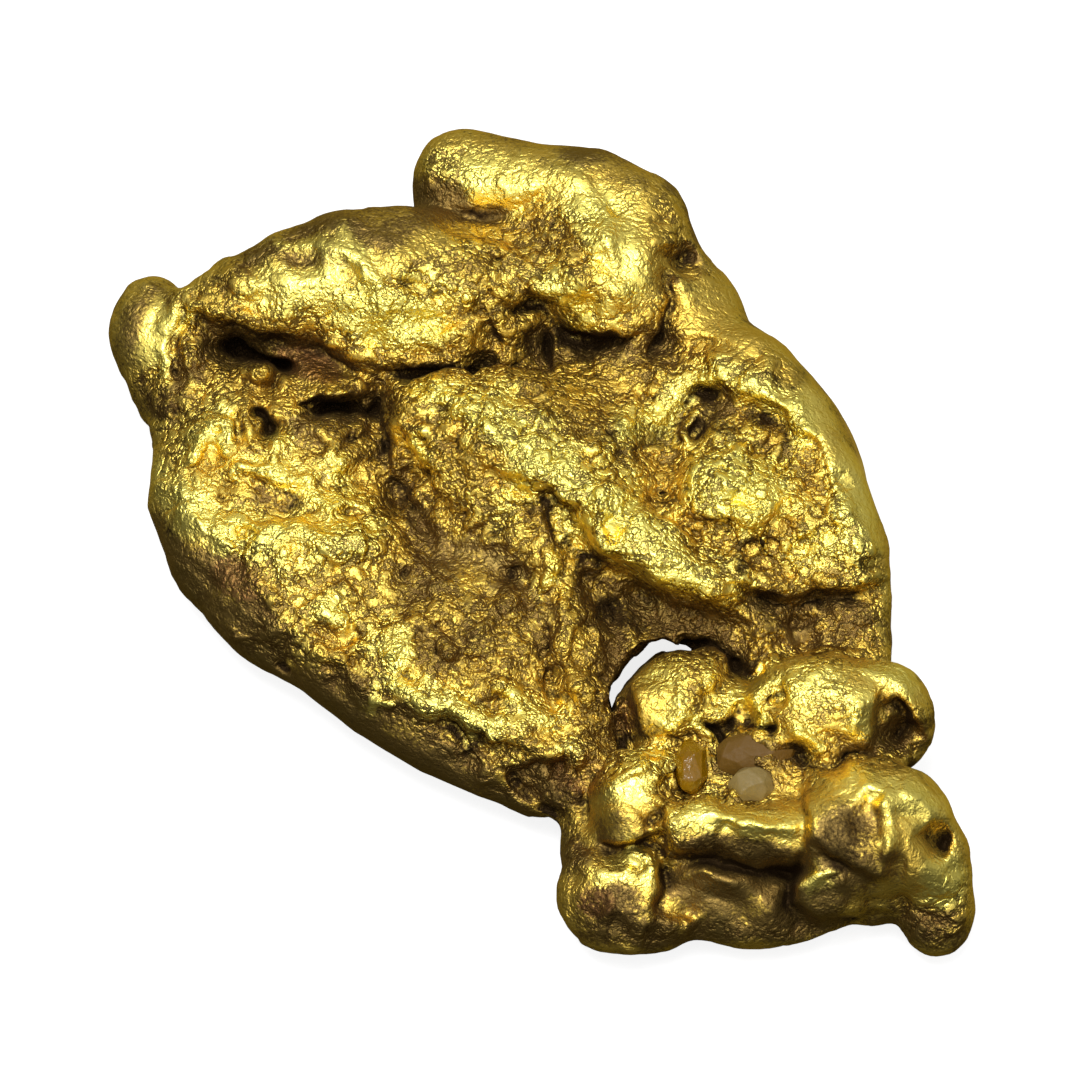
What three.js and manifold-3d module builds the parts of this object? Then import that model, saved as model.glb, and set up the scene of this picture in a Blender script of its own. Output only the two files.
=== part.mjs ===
// A native gold nugget, 22 mm long, with three quartz grains lodged in the hollow of its small end.
// Millimetres, +Z up. The origin lies under the middle of the nugget, in the plane it rests on.

import * as THREE from "three";
import { ConvexGeometry } from "three/addons/geometries/ConvexGeometry.js";
import { mergeVertices } from "three/addons/utils/BufferGeometryUtils.js";
import Module from "manifold-3d";

// Driving dimensions.
const LATTICE_CELL = 0.46; // spacing of the lattice that the nugget's skin is laid over
const LATTICE_HALF_WIDTH = 9.66; // the lattice reaches this far from the origin along X and Y
const LATTICE_TOP = 5.6;
const PINCH_FILL = 0.03; // depth of gold put where the skin would otherwise touch itself along an edge
const LOBE_BLEND = 0.45; // how far neighbouring lobes melt into each other
const FOLD_BLEND = 0.3; // the same where a fold is pressed in
const SIGHT_SLOPE = THREE.MathUtils.degToRad(60); // slope of the line of sight that places are given along
const MIDDLE = { right: 0.05, up: -1.13 }; // the place, across the line of sight, that covers the origin
const SLIT_REACH = 24; // length of the cut that opens the slit right through
const GRAIN_CLEARANCE = 0.06; // gap between a quartz grain and the wall of its pocket
const GRAIN_CORNERS = 26;
const GRAIN_UNEVENNESS = 0.16; // share of its radius by which a grain's corners vary

// Rounded lobes that the nugget is massed from: name, right, up, height, half sizes along X, Y and Z, turn.
const LOBES = [
  ["left body", -4.8, 1.8, 1.7, [2.7, 2.5, 1.6], -20],
  ["lower left body", -4.2, -0.7, 1.5, [2.6, 2.1, 1.65], -30],
  ["brown plain", -1.4, -2.3, 1.5, [2.4, 2.2, 1.6], -25],
  ["middle body", 0.4, 0.8, 1.85, [2.9, 3.0, 2.05], 0],
  ["upper body", -2.2, 3.8, 1.9, [3.2, 1.6, 1.85], 0],
  ["right body", 4.1, 1.0, 1.9, [2.4, 3.2, 1.9], 15],
  ["lower right body", 4.0, -1.2, 1.6, [2.6, 1.3, 1.5], 0],
  ["right foot", 5.0, -1.8, 1.15, [1.9, 1.0, 1.2], 0],
  ["top body", 0.8, 5.15, 2.1, [2.3, 2.0, 2.15], -10],
  ["top corner", -1.9, 7.2, 3.0, [0.6, 0.7, 0.8], 0],
  ["saddle", 3.05, 4.1, 2.3, [1.1, 1.5, 1.4], 0],
  ["left nub", -7.75, 4.15, 1.9, [0.86, 1.18, 0.95], 0],
  ["nub foot", -7.5, 3.0, 1.5, [0.62, 0.8, 0.8], 0],
  ["nub neck", -6.85, 3.35, 1.7, [0.9, 1.3, 1.0], 0],
  ["top front", 1.45, 5.35, 3.6, [1.5, 1.1, 1.15], -10],
  ["centre body", 2.0, 3.1, 2.2, [1.4, 1.3, 1.5], 0],
  ["left seam", -2.3, 2.0, 1.9, [1.1, 1.1, 1.5], 0],
  ["top seam", -1.5, 6.15, 2.4, [1.1, 1.0, 1.4], 0],
  ["slit seam", 2.5, -2.3, 1.5, [1.5, 1.2, 1.3], 0],
  ["right seam", 4.0, -2.4, 1.5, [1.0, 1.0, 1.3], 0],
  ["right bulge", 4.05, 0.85, 3.2, [1.5, 1.3, 0.85], 0],
  ["slab", -0.3, 1.65, 3.35, [2.7, 1.5, 0.95], -32],
  ["neck", 1.45, -3.2, 1.3, [0.75, 1.6, 0.9], 10],
  ["block", 2.85, -3.3, 2.2, [1.3, 1.1, 1.05], 0],
  ["block foot", 3.0, -3.7, 1.4, [1.3, 1.0, 1.4], 0],
  ["upper knob", 5.5, -3.4, 2.7, [1.5, 1.15, 1.1], 0],
  ["upper knob end", 6.85, -3.55, 2.2, [0.98, 1.15, 1.1], 0],
  ["upper knob foot", 5.8, -3.45, 1.4, [1.6, 1.1, 1.4], 0],
  ["left ball", 2.0, -5.25, 2.2, [1.0, 1.05, 1.0], 0],
  ["corner ball", 1.45, -7.05, 1.25, [1.12, 1.1, 1.1], 0],
  ["corner ball side", 2.3, -7.25, 1.15, [0.9, 0.9, 0.95], 0],
  ["big knob", 6.8, -5.75, 2.4, [1.4, 1.4, 1.3], 0],
  ["big knob side", 6.0, -5.85, 2.2, [1.0, 1.35, 1.3], 0],
  ["big knob foot", 6.55, -6.8, 1.2, [0.85, 0.8, 0.95], 0],
  ["low tongue", 4.5, -7.3, 1.0, [1.6, 0.8, 0.78], 5],
  ["small end body", 4.4, -5.7, 1.5, [2.8, 2.1, 1.58], 0],
  ["small knob", 5.5, -6.8, 1.8, [0.6, 0.5, 0.5], 0],
];

// Rounded rolls along the nugget's rims and ridges: name, then right, up, height and radius of each stop.
const ROLLS = [
  ["upper ridge", [
    [-6.7, 4.4, 2.6, 0.75], [-5.8, 4.75, 2.8, 1.0], [-4.8, 5.05, 3.0, 1.2], [-3.8, 5.2, 3.1, 1.4],
    [-2.8, 5.2, 3.2, 1.48], [-1.6, 5.0, 3.2, 1.35], [-0.8, 4.7, 3.2, 1.1],
  ]],
  ["top rim", [
    [-1.45, 7.35, 3.2, 0.88], [-0.2, 6.9, 3.3, 1.04], [1.0, 6.7, 3.4, 1.14], [1.85, 6.25, 3.4, 1.15],
    [2.25, 5.5, 3.4, 1.0], [2.3, 4.8, 3.2, 0.9],
  ]],
  ["right rim", [
    [2.65, 4.7, 2.7, 0.85], [3.25, 3.9, 2.7, 0.88], [4.1, 3.1, 3.0, 1.1], [4.9, 2.2, 3.0, 1.05],
    [5.5, 0.95, 2.9, 1.0], [5.95, -0.25, 2.6, 1.0], [6.15, -1.2, 2.2, 0.86], [6.2, -2.0, 1.8, 0.78],
  ]],
  ["slab tongue", [[1.2, 0.3, 3.4, 0.8], [2.4, -0.45, 3.2, 0.75], [3.45, -1.0, 2.9, 0.6]]],
  ["left rim", [
    [-6.95, 2.3, 1.9, 0.8], [-6.75, 1.75, 1.8, 0.98], [-6.7, 0.8, 1.7, 1.12], [-6.15, -0.25, 1.6, 1.25],
    [-5.2, -1.15, 1.6, 1.25],
  ]],
  ["lower rim", [
    [-5.2, -1.15, 1.6, 1.25], [-4.0, -1.95, 1.6, 1.28], [-2.9, -2.75, 1.6, 1.32], [-1.8, -3.45, 1.6, 1.28],
    [-0.8, -3.95, 1.5, 1.22], [0.05, -4.45, 1.4, 1.05],
  ]],
  ["plain rim", [[0.4, -0.4, 2.7, 0.6], [0.75, -1.6, 2.6, 0.55], [0.85, -3.0, 2.3, 0.5], [1.0, -4.3, 1.9, 0.45]]],
  ["heel", [[1.0, -5.0, 1.4, 0.65], [1.05, -6.1, 1.2, 0.66]]],
  ["bar", [[2.9, -5.65, 2.7, 0.5], [5.4, -5.9, 2.8, 0.5]]],
  ["end nub", [[7.7, -6.35, 1.8, 0.84], [7.9, -7.2, 1.2, 0.72], [7.85, -7.55, 0.9, 0.68]]],
];

// Folds pressed into the skin, as the hollow left by a roll: stops as for the rolls.
const FOLDS = [
  ["under the upper ridge", [[-6.6, 3.75, 3.4, 0.35], [-5.8, 3.45, 3.4, 0.5], [-4.8, 3.05, 3.4, 0.45]]],
  ["beside the slab", [[-2.9, 1.5, 3.6, 0.4], [-2.15, 0.4, 3.5, 0.4]]],
  ["under the tongue", [[1.45, -0.9, 3.3, 0.5], [2.4, -1.6, 2.9, 0.5], [3.9, -1.95, 2.7, 0.4]]],
  ["under the top", [[0.0, 3.75, 4.1, 0.4], [1.2, 3.65, 3.9, 0.4], [2.3, 3.9, 3.8, 0.35]]],
  ["top hollow", [[-1.6, 6.5, 4.4, 0.4], [-0.3, 6.4, 4.6, 0.5]]],
  ["right hollow", [[3.0, 2.3, 4.3, 0.4], [4.0, 2.1, 4.4, 0.5], [5.0, 1.4, 4.2, 0.4]]],
  ["grain hollow", [[3.0, -4.6, 3.2, 0.5], [4.2, -4.7, 3.35, 0.6], [5.0, -4.6, 3.4, 0.45]]],
  ["knob pit", [[7.2, -3.7, 3.4, 0.5], [7.3, -4.0, 3.1, 0.45]]],
];

// Outline of the slit between the large and the small end, as right and up across the line of sight.
const SLIT_OUTLINE = [
  [1.42, -3.05], [1.66, -2.62], [2.05, -2.1], [2.5, -1.93], [3.05, -2.2],
  [2.6, -2.2], [2.2, -2.48], [1.86, -2.68], [1.55, -3.05],
];

// Quartz grains: node name, right, up, height, half sizes along X, Y and Z, colour.
const GRAINS = [
  ["pale_quartz_grain", 4.16, -4.9, 2.72, [0.46, 0.5, 0.42], 0xd8c9a4],
  ["brown_quartz_grain", 4.35, -4.15, 2.75, [0.52, 0.42, 0.4], 0x8f6b3c],
  ["amber_quartz_grain", 3.05, -4.6, 2.66, [0.3, 0.5, 0.4], 0xb8860b],
];

const sine = Math.sin(SIGHT_SLOPE);
const cosine = Math.cos(SIGHT_SLOPE);

// The point of the part's frame at a height above the table, seen at a place across the line of sight.
function seenAt(right, up, height) {
  return new THREE.Vector3(right - MIDDLE.right, (up - MIDDLE.up - height * cosine) / sine, height);
}

function smoothUnion(a, b, blend) {
  const share = THREE.MathUtils.clamp(0.5 + (0.5 * (b - a)) / blend, 0, 1);
  return b + (a - b) * share - blend * share * (1 - share);
}

// Distance to an ellipsoid's skin, less than zero inside it.
function lobeDistance([, right, up, height, [a, b, c], turn]) {
  const centre = seenAt(right, up, height);
  const unturn = new THREE.Matrix4().makeRotationZ(-THREE.MathUtils.degToRad(turn));
  const sizes = new THREE.Vector3(a, b, c);
  const local = new THREE.Vector3();
  return (point) => {
    local.subVectors(point, centre).applyMatrix4(unturn).divide(sizes);
    const near = local.length();
    const slope = local.divide(sizes).length();
    return (near * (near - 1)) / Math.max(slope, 1e-6);
  };
}

// Distance to a chain of round cones through its stops.
function rollDistance([, stops]) {
  const joints = stops.map(([right, up, height, radius]) => ({ at: seenAt(right, up, height), radius }));
  const lines = joints.slice(1).map((joint, i) => new THREE.Line3(joints[i].at, joint.at));
  const onLine = new THREE.Vector3();
  return (point) => {
    let nearest = Infinity;
    lines.forEach((line, i) => {
      const along = line.closestPointToPointParameter(point, true);
      const radius = THREE.MathUtils.lerp(joints[i].radius, joints[i + 1].radius, along);
      nearest = Math.min(nearest, line.at(along, onLine).distanceTo(point) - radius);
    });
    return nearest;
  };
}

// The nugget as one distance: lobes and rolls melted together, folds pressed in, worn flat at the table.
function nuggetDistance() {
  const masses = [...LOBES.map(lobeDistance), ...ROLLS.map(rollDistance)];
  const folds = FOLDS.map(rollDistance);
  return (point) => {
    const mass = masses.reduce((sum, distance) => smoothUnion(sum, distance(point), LOBE_BLEND), 1);
    const folded = folds.reduce((sum, distance) => smoothUnion(sum, distance(point), FOLD_BLEND), -mass);
    return Math.max(-folded, -point.z);
  };
}

// A lattice of cells with a distance at every node. The table plane runs midway through a layer of cells.
class Lattice {
  constructor(distance) {
    const across = Math.round((2 * LATTICE_HALF_WIDTH) / LATTICE_CELL) + 1;
    const layers = Math.ceil(LATTICE_TOP / LATTICE_CELL) + 2;
    this.counts = [across, across, layers];
    this.low = new THREE.Vector3(-LATTICE_HALF_WIDTH, -LATTICE_HALF_WIDTH, -0.5 * LATTICE_CELL);
    this.strides = [1, across, across * across];
    this.values = new Float64Array(across * across * layers);
    for (let node = 0; node < this.values.length; node += 1) {
      this.values[node] = distance(this.placeOf(node));
    }
    while (this.fillPinches()) {
      // Filling one pinch can make another beside it, so the lattice is gone over until none is left.
    }
  }

  // Fills one node of every lattice face whose two diagonals lie on opposite sides of the skin.
  fillPinches() {
    let filled = 0;
    const inside = (node) => this.values[node] < 0;
    for (let node = 0; node < this.values.length; node += 1) {
      this.strides.forEach((stride, axis) => {
        const other = this.strides[(axis + 1) % 3];
        const [a, b, c, d] = [node, node + stride, node + other, node + stride + other];
        if (d < this.values.length && inside(a) === inside(d) && inside(b) === inside(c) && inside(a) !== inside(b)) {
          this.values[inside(a) ? b : a] = -PINCH_FILL;
          filled += 1;
        }
      });
    }
    return filled > 0;
  }

  stepsTo(node) {
    return this.strides.map((stride, axis) => Math.floor(node / stride) % this.counts[axis]);
  }

  placeOf(node) {
    return new THREE.Vector3(...this.stepsTo(node)).multiplyScalar(LATTICE_CELL).add(this.low);
  }

  // Where the skin crosses the lattice edge between two nodes.
  crossing(from, to) {
    const share = this.values[from] / (this.values[from] - this.values[to]);
    return this.placeOf(from).lerp(this.placeOf(to), share);
  }
}

// The twelve edges of a cell, each as the two corner numbers it joins.
const CELL_EDGES = [0, 1, 2, 3, 4, 5, 6, 7].flatMap((corner) =>
  [1, 2, 4].filter((step) => (corner & step) === 0).map((step) => [corner, corner + step]),
);

// One skin point in every cell that the skin passes through: the middle of the cell's crossings.
function skinPoints(lattice) {
  const [sx, sy, sz] = lattice.strides;
  const corners = [0, 1, 2, 3, 4, 5, 6, 7].map((c) => (c & 1) * sx + ((c >> 1) & 1) * sy + (c >> 2) * sz);
  const pointOfCell = new Map();
  const places = [];
  for (let cell = 0; cell < lattice.values.length; cell += 1) {
    const steps = lattice.stepsTo(cell);
    if (steps.some((step, axis) => step === lattice.counts[axis] - 1)) {
      continue;
    }
    const crossed = CELL_EDGES.map(([a, b]) => [cell + corners[a], cell + corners[b]]).filter(
      ([from, to]) => lattice.values[from] < 0 !== lattice.values[to] < 0,
    );
    if (crossed.length > 0) {
      const middle = new THREE.Vector3();
      crossed.forEach(([from, to]) => middle.add(lattice.crossing(from, to)));
      pointOfCell.set(cell, places.length);
      places.push(middle.divideScalar(crossed.length));
    }
  }
  return { pointOfCell, places };
}

// Every lattice edge that the skin crosses gives a four-sided face between its four cells, split in two.
function skinGeometry(lattice) {
  const { pointOfCell, places } = skinPoints(lattice);
  const indices = [];
  lattice.values.forEach((value, node) => {
    lattice.strides.forEach((stride, axis) => {
      const next = lattice.values[node + stride];
      if (next === undefined || value < 0 === next < 0) {
        return;
      }
      const across = lattice.strides[(axis + 1) % 3];
      const upward = lattice.strides[(axis + 2) % 3];
      const cells = [node - across - upward, node - upward, node, node - across];
      const ring = cells.map((cell) => pointOfCell.get(cell));
      const [a, b, c, d] = value < 0 ? ring : ring.reverse();
      const shortWay = places[a].distanceTo(places[c]) <= places[b].distanceTo(places[d]);
      indices.push(...(shortWay ? [a, b, c, a, c, d] : [b, c, d, b, d, a]));
    });
  });
  const geometry = new THREE.BufferGeometry().setFromPoints(places);
  geometry.setIndex(indices);
  return geometry;
}

// The tool that opens the slit: its outline carried along the line of sight.
function slitGeometry() {
  const outline = new THREE.Shape(SLIT_OUTLINE.map(([right, up]) => new THREE.Vector2(right, up)));
  const geometry = new THREE.ExtrudeGeometry(outline, { depth: SLIT_REACH, bevelEnabled: false });
  geometry.translate(-MIDDLE.right, -MIDDLE.up, -0.5 * SLIT_REACH);
  return geometry.rotateX(0.5 * Math.PI - SIGHT_SLOPE);
}

// A broken grain of quartz: the hull of corners spread evenly over an uneven ellipsoid.
function grainGeometry(sizes, clearance) {
  const goldenTurn = Math.PI * (3 - Math.sqrt(5));
  const corners = [];
  for (let i = 0; i < GRAIN_CORNERS; i += 1) {
    const height = 1 - (2 * i + 1) / GRAIN_CORNERS;
    const reach = 1 + GRAIN_UNEVENNESS * Math.sin(5.1 * i + 7 * sizes[0]);
    const direction = new THREE.Vector3().setFromCylindricalCoords(Math.sqrt(1 - height * height), goldenTurn * i, height);
    const radii = new THREE.Vector3(...sizes).multiplyScalar(reach).addScalar(clearance);
    corners.push(direction.multiply(radii));
  }
  return new ConvexGeometry(corners);
}

const wasm = await Module();
wasm.setup();

function solidOf(geometry) {
  const bare = geometry.clone();
  bare.deleteAttribute("normal");
  bare.deleteAttribute("uv");
  const merged = mergeVertices(bare);
  const vertProperties = merged.attributes.position.array;
  const triVerts = new Uint32Array(merged.index.array);
  return new wasm.Manifold(new wasm.Mesh({ numProp: 3, vertProperties, triVerts }));
}

function geometryOf(solid) {
  const { vertProperties, triVerts } = solid.getMesh();
  const geometry = new THREE.BufferGeometry();
  geometry.setAttribute("position", new THREE.BufferAttribute(vertProperties, 3));
  geometry.setIndex(new THREE.BufferAttribute(triVerts, 1));
  geometry.computeVertexNormals();
  return geometry;
}

function nugget() {
  let solid = solidOf(skinGeometry(new Lattice(nuggetDistance()))).subtract(solidOf(slitGeometry()));
  for (const [, right, up, height, sizes] of GRAINS) {
    const pocket = grainGeometry(sizes, GRAIN_CLEARANCE).translate(...seenAt(right, up, height).toArray());
    solid = solid.subtract(solidOf(pocket));
  }
  const gold = new THREE.MeshStandardMaterial({ color: 0xc9a227, roughness: 0.32, metalness: 1 });
  const mesh = new THREE.Mesh(geometryOf(solid), gold);
  mesh.name = "nugget";
  return mesh;
}

function grain([name, right, up, height, sizes, color]) {
  const quartz = new THREE.MeshStandardMaterial({ color, roughness: 0.2, metalness: 0 });
  const mesh = new THREE.Mesh(grainGeometry(sizes, 0), quartz);
  mesh.position.copy(seenAt(right, up, height));
  mesh.name = name;
  return mesh;
}

const part = new THREE.Group();
part.add(nugget(), ...GRAINS.map(grain));

export default part;
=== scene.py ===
"""A native gold nugget, 22 mm long, with three quartz grains lodged in the hollow of its small end."""

import logging
import math
from dataclasses import dataclass, field
from enum import Enum
from functools import partial
from typing import Any, Sequence

import bmesh
import bpy
import numpy as np
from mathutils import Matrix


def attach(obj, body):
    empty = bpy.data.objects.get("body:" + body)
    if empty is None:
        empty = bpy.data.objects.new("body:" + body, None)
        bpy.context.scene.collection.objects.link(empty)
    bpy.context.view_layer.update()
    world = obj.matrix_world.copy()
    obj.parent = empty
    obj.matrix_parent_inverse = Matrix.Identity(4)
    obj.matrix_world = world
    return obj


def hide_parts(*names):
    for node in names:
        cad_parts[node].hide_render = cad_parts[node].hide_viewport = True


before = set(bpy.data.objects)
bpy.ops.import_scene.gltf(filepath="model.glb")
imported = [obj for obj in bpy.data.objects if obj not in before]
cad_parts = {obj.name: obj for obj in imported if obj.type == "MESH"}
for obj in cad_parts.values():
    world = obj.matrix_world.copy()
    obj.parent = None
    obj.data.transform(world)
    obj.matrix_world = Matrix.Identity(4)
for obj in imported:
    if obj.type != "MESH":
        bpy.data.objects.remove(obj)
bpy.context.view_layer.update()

log = logging.getLogger("nugget")

MM = 0.001  # a millimetre in metres; the shapes below are worked out in millimetres
BODY = "root"
Spot = tuple[float, float]


@dataclass(frozen=True)
class Sight:
    """The slanting line of sight that places are given along, as right and up across it.

    Attributes:
        slope: Angle of the line of sight above the table.
        middle: The right and up that cover the origin.
    """

    slope: float = math.radians(60)
    middle: Spot = (0.05, -1.13)

    @property
    def sine(self) -> float:
        """How much of a length along Y shows as up."""
        return math.sin(self.slope)

    @property
    def cosine(self) -> float:
        """How much of a height shows as up."""
        return math.cos(self.slope)

    def place(self, right: Any, up: Any, height: Any) -> np.ndarray:
        """Finds the point at a height that is seen at a right and up.

        Args:
            right: Right across the line of sight.
            up: Up across the line of sight.
            height: Height above the table.

        Returns:
            The point's X, Y and Z, along the first axis.
        """
        along = (up - self.middle[1] - height * self.cosine) / self.sine
        return np.array([right - self.middle[0], along, height + 0 * along])


SIGHT = Sight()


class Form(Enum):
    """How the skin runs across a stroke."""

    # A crest's shine is partly a painted highlight.
    CREST = "a worn, shining ridge"
    RIDGE = "a ridge"
    BEAD = "a half-round bead with creases at its feet"
    GROOVE = "a sharp groove"
    HOLE = "a steep-walled hole"
    LIP = "a step that falls away to the right of its travel"


class Finish(Enum):
    """What a patch of the skin is like."""

    CALM = "smooth, with little grain"
    WILD = "coarse and flaky"
    # The brown film is partly tarnish and partly painted shade on walls that face away from the light.
    TARNISH = "under a brown film"
    RUST = "under a reddish film"
    # Dark dirt, and painted shade in pits and along low edges.
    SOOT = "dark with old dirt"
    # Worn bright, and also the place of the painted highlight.
    POLISH = "worn bright"


@dataclass(frozen=True)
class Lobe:
    """A rounded lobe of the mass.

    Attributes:
        right: Right of its centre.
        up: Up of its centre.
        height: Height of its centre.
        sizes: Half sizes along X, Y and Z before it is turned.
        turn: Turn about Z in degrees.
    """

    right: float
    up: float
    height: float
    sizes: tuple[float, float, float]
    turn: float = 0.0

    def span(self) -> tuple[np.ndarray, np.ndarray]:
        """Finds a box round the lobe.

        Returns:
            The box's lowest and highest corners.
        """
        centre = SIGHT.place(self.right, self.up, self.height)
        flat = max(self.sizes[:2])
        reach = np.array([flat, flat, self.sizes[2]])
        return centre - reach, centre + reach

    def distance(self, x: np.ndarray, y: np.ndarray, z: np.ndarray) -> np.ndarray:
        """Measures how far points are outside the lobe.

        Args:
            x: The points' X.
            y: The points' Y.
            z: The points' Z.

        Returns:
            Distances, less than zero inside.
        """
        centre = SIGHT.place(self.right, self.up, self.height)
        cos, sin = math.cos(math.radians(self.turn)), math.sin(math.radians(self.turn))
        dx, dy, dz = x - centre[0], y - centre[1], z - centre[2]
        parts = ((dx * cos + dy * sin), (dy * cos - dx * sin), dz)
        near = np.sqrt(sum((p / s) ** 2 for p, s in zip(parts, self.sizes)))
        slope = np.sqrt(sum((p / s**2) ** 2 for p, s in zip(parts, self.sizes)))
        return near * (near - 1) / np.maximum(slope, 1e-6)


@dataclass(frozen=True)
class Roll:
    """A chain of round cones, as a rim or, pressed in, as a fold.

    Attributes:
        stops: Right, up, height and radius of each stop.
    """

    stops: tuple[tuple[float, float, float, float], ...]

    def span(self) -> tuple[np.ndarray, np.ndarray]:
        """Finds the lowest and highest corners of a box round the roll."""
        ends = [(SIGHT.place(*stop[:3]), stop[3]) for stop in self.stops]
        return np.min([p - r for p, r in ends], axis=0), np.max([p + r for p, r in ends], axis=0)

    def distance(self, x: np.ndarray, y: np.ndarray, z: np.ndarray) -> np.ndarray:
        """Measures how far points are outside the roll.

        Args:
            x: The points' X.
            y: The points' Y.
            z: The points' Z.

        Returns:
            Distances, less than zero inside.
        """
        nearest = None
        for stop, following in zip(self.stops, self.stops[1:]):
            start, run = SIGHT.place(*stop[:3]), SIGHT.place(*following[:3])
            run = run - start
            dx, dy, dz = x - start[0], y - start[1], z - start[2]
            along = np.clip((dx * run[0] + dy * run[1] + dz * run[2]) / float(run @ run), 0, 1)
            off = (dx - along * run[0]) ** 2 + (dy - along * run[1]) ** 2 + (dz - along * run[2]) ** 2
            distance = np.sqrt(off) - (stop[3] + (following[3] - stop[3]) * along)
            nearest = distance if nearest is None else np.minimum(nearest, distance)
        return nearest


LOBES = {
    "left body": Lobe(-4.8, 1.8, 1.7, (2.7, 2.5, 1.6), -20),
    "lower left body": Lobe(-4.2, -0.7, 1.5, (2.6, 2.1, 1.65), -30),
    "brown plain": Lobe(-1.4, -2.3, 1.5, (2.4, 2.2, 1.6), -25),
    "middle body": Lobe(0.4, 0.8, 1.85, (2.9, 3.0, 2.05)),
    "upper body": Lobe(-2.2, 3.8, 1.9, (3.2, 1.6, 1.85)),
    "right body": Lobe(4.1, 1.0, 1.9, (2.4, 3.2, 1.9), 15),
    "lower right body": Lobe(4.0, -1.2, 1.6, (2.6, 1.3, 1.5)),
    "right foot": Lobe(5.0, -1.8, 1.15, (1.9, 1.0, 1.2)),
    "top body": Lobe(0.8, 5.15, 2.1, (2.3, 2.0, 2.15), -10),
    "top corner": Lobe(-1.9, 7.2, 3.0, (0.6, 0.7, 0.8)),
    "saddle": Lobe(3.05, 4.1, 2.3, (1.1, 1.5, 1.4)),
    "left nub": Lobe(-7.75, 4.15, 1.9, (0.86, 1.18, 0.95)),
    "nub foot": Lobe(-7.5, 3.0, 1.5, (0.62, 0.8, 0.8)),
    "nub neck": Lobe(-6.85, 3.35, 1.7, (0.9, 1.3, 1.0)),
    "top front": Lobe(1.45, 5.35, 3.6, (1.5, 1.1, 1.15), -10),
    "centre body": Lobe(2.0, 3.1, 2.2, (1.4, 1.3, 1.5)),
    "left seam": Lobe(-2.3, 2.0, 1.9, (1.1, 1.1, 1.5)),
    "top seam": Lobe(-1.5, 6.15, 2.4, (1.1, 1.0, 1.4)),
    "slit seam": Lobe(2.5, -2.3, 1.5, (1.5, 1.2, 1.3)),
    "right seam": Lobe(4.0, -2.4, 1.5, (1.0, 1.0, 1.3)),
    "right bulge": Lobe(4.05, 0.85, 3.2, (1.5, 1.3, 0.85)),
    "slab": Lobe(-0.3, 1.65, 3.35, (2.7, 1.5, 0.95), -32),
    "neck": Lobe(1.45, -3.2, 1.3, (0.75, 1.6, 0.9), 10),
    "block": Lobe(2.85, -3.3, 2.2, (1.3, 1.1, 1.05)),
    "block foot": Lobe(3.0, -3.7, 1.4, (1.3, 1.0, 1.4)),
    "upper knob": Lobe(5.5, -3.4, 2.7, (1.5, 1.15, 1.1)),
    "upper knob end": Lobe(6.85, -3.55, 2.2, (0.98, 1.15, 1.1)),
    "upper knob foot": Lobe(5.8, -3.45, 1.4, (1.6, 1.1, 1.4)),
    "left ball": Lobe(2.0, -5.25, 2.2, (1.0, 1.05, 1.0)),
    "corner ball": Lobe(1.45, -7.05, 1.25, (1.12, 1.1, 1.1)),
    "corner ball side": Lobe(2.3, -7.25, 1.15, (0.9, 0.9, 0.95)),
    "big knob": Lobe(6.8, -5.75, 2.4, (1.4, 1.4, 1.3)),
    "big knob side": Lobe(6.0, -5.85, 2.2, (1.0, 1.35, 1.3)),
    "big knob foot": Lobe(6.55, -6.8, 1.2, (0.85, 0.8, 0.95)),
    "low tongue": Lobe(4.5, -7.3, 1.0, (1.6, 0.8, 0.78), 5),
    "small end body": Lobe(4.4, -5.7, 1.5, (2.8, 2.1, 1.58)),
    "small knob": Lobe(5.5, -6.8, 1.8, (0.6, 0.5, 0.5)),
}

ROLLS = {
    "upper ridge": Roll((
        (-6.7, 4.4, 2.6, 0.75), (-5.8, 4.75, 2.8, 1.0), (-4.8, 5.05, 3.0, 1.2), (-3.8, 5.2, 3.1, 1.4),
        (-2.8, 5.2, 3.2, 1.48), (-1.6, 5.0, 3.2, 1.35), (-0.8, 4.7, 3.2, 1.1))),
    "top rim": Roll((
        (-1.45, 7.35, 3.2, 0.88), (-0.2, 6.9, 3.3, 1.04), (1.0, 6.7, 3.4, 1.14), (1.85, 6.25, 3.4, 1.15),
        (2.25, 5.5, 3.4, 1.0), (2.3, 4.8, 3.2, 0.9))),
    "right rim": Roll((
        (2.65, 4.7, 2.7, 0.85), (3.25, 3.9, 2.7, 0.88), (4.1, 3.1, 3.0, 1.1), (4.9, 2.2, 3.0, 1.05),
        (5.5, 0.95, 2.9, 1.0), (5.95, -0.25, 2.6, 1.0), (6.15, -1.2, 2.2, 0.86), (6.2, -2.0, 1.8, 0.78))),
    "slab tongue": Roll(((1.2, 0.3, 3.4, 0.8), (2.4, -0.45, 3.2, 0.75), (3.45, -1.0, 2.9, 0.6))),
    "left rim": Roll((
        (-6.95, 2.3, 1.9, 0.8), (-6.75, 1.75, 1.8, 0.98), (-6.7, 0.8, 1.7, 1.12), (-6.15, -0.25, 1.6, 1.25),
        (-5.2, -1.15, 1.6, 1.25))),
    "lower rim": Roll((
        (-5.2, -1.15, 1.6, 1.25), (-4.0, -1.95, 1.6, 1.28), (-2.9, -2.75, 1.6, 1.32),
        (-1.8, -3.45, 1.6, 1.28), (-0.8, -3.95, 1.5, 1.22), (0.05, -4.45, 1.4, 1.05))),
    "plain rim": Roll((
        (0.4, -0.4, 2.7, 0.6), (0.75, -1.6, 2.6, 0.55), (0.85, -3.0, 2.3, 0.5), (1.0, -4.3, 1.9, 0.45))),
    "heel": Roll(((1.0, -5.0, 1.4, 0.65), (1.05, -6.1, 1.2, 0.66))),
    "bar": Roll(((2.9, -5.65, 2.7, 0.5), (5.4, -5.9, 2.8, 0.5))),
    "end nub": Roll(((7.7, -6.35, 1.8, 0.84), (7.9, -7.2, 1.2, 0.72), (7.85, -7.55, 0.9, 0.68))),
}

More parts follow.
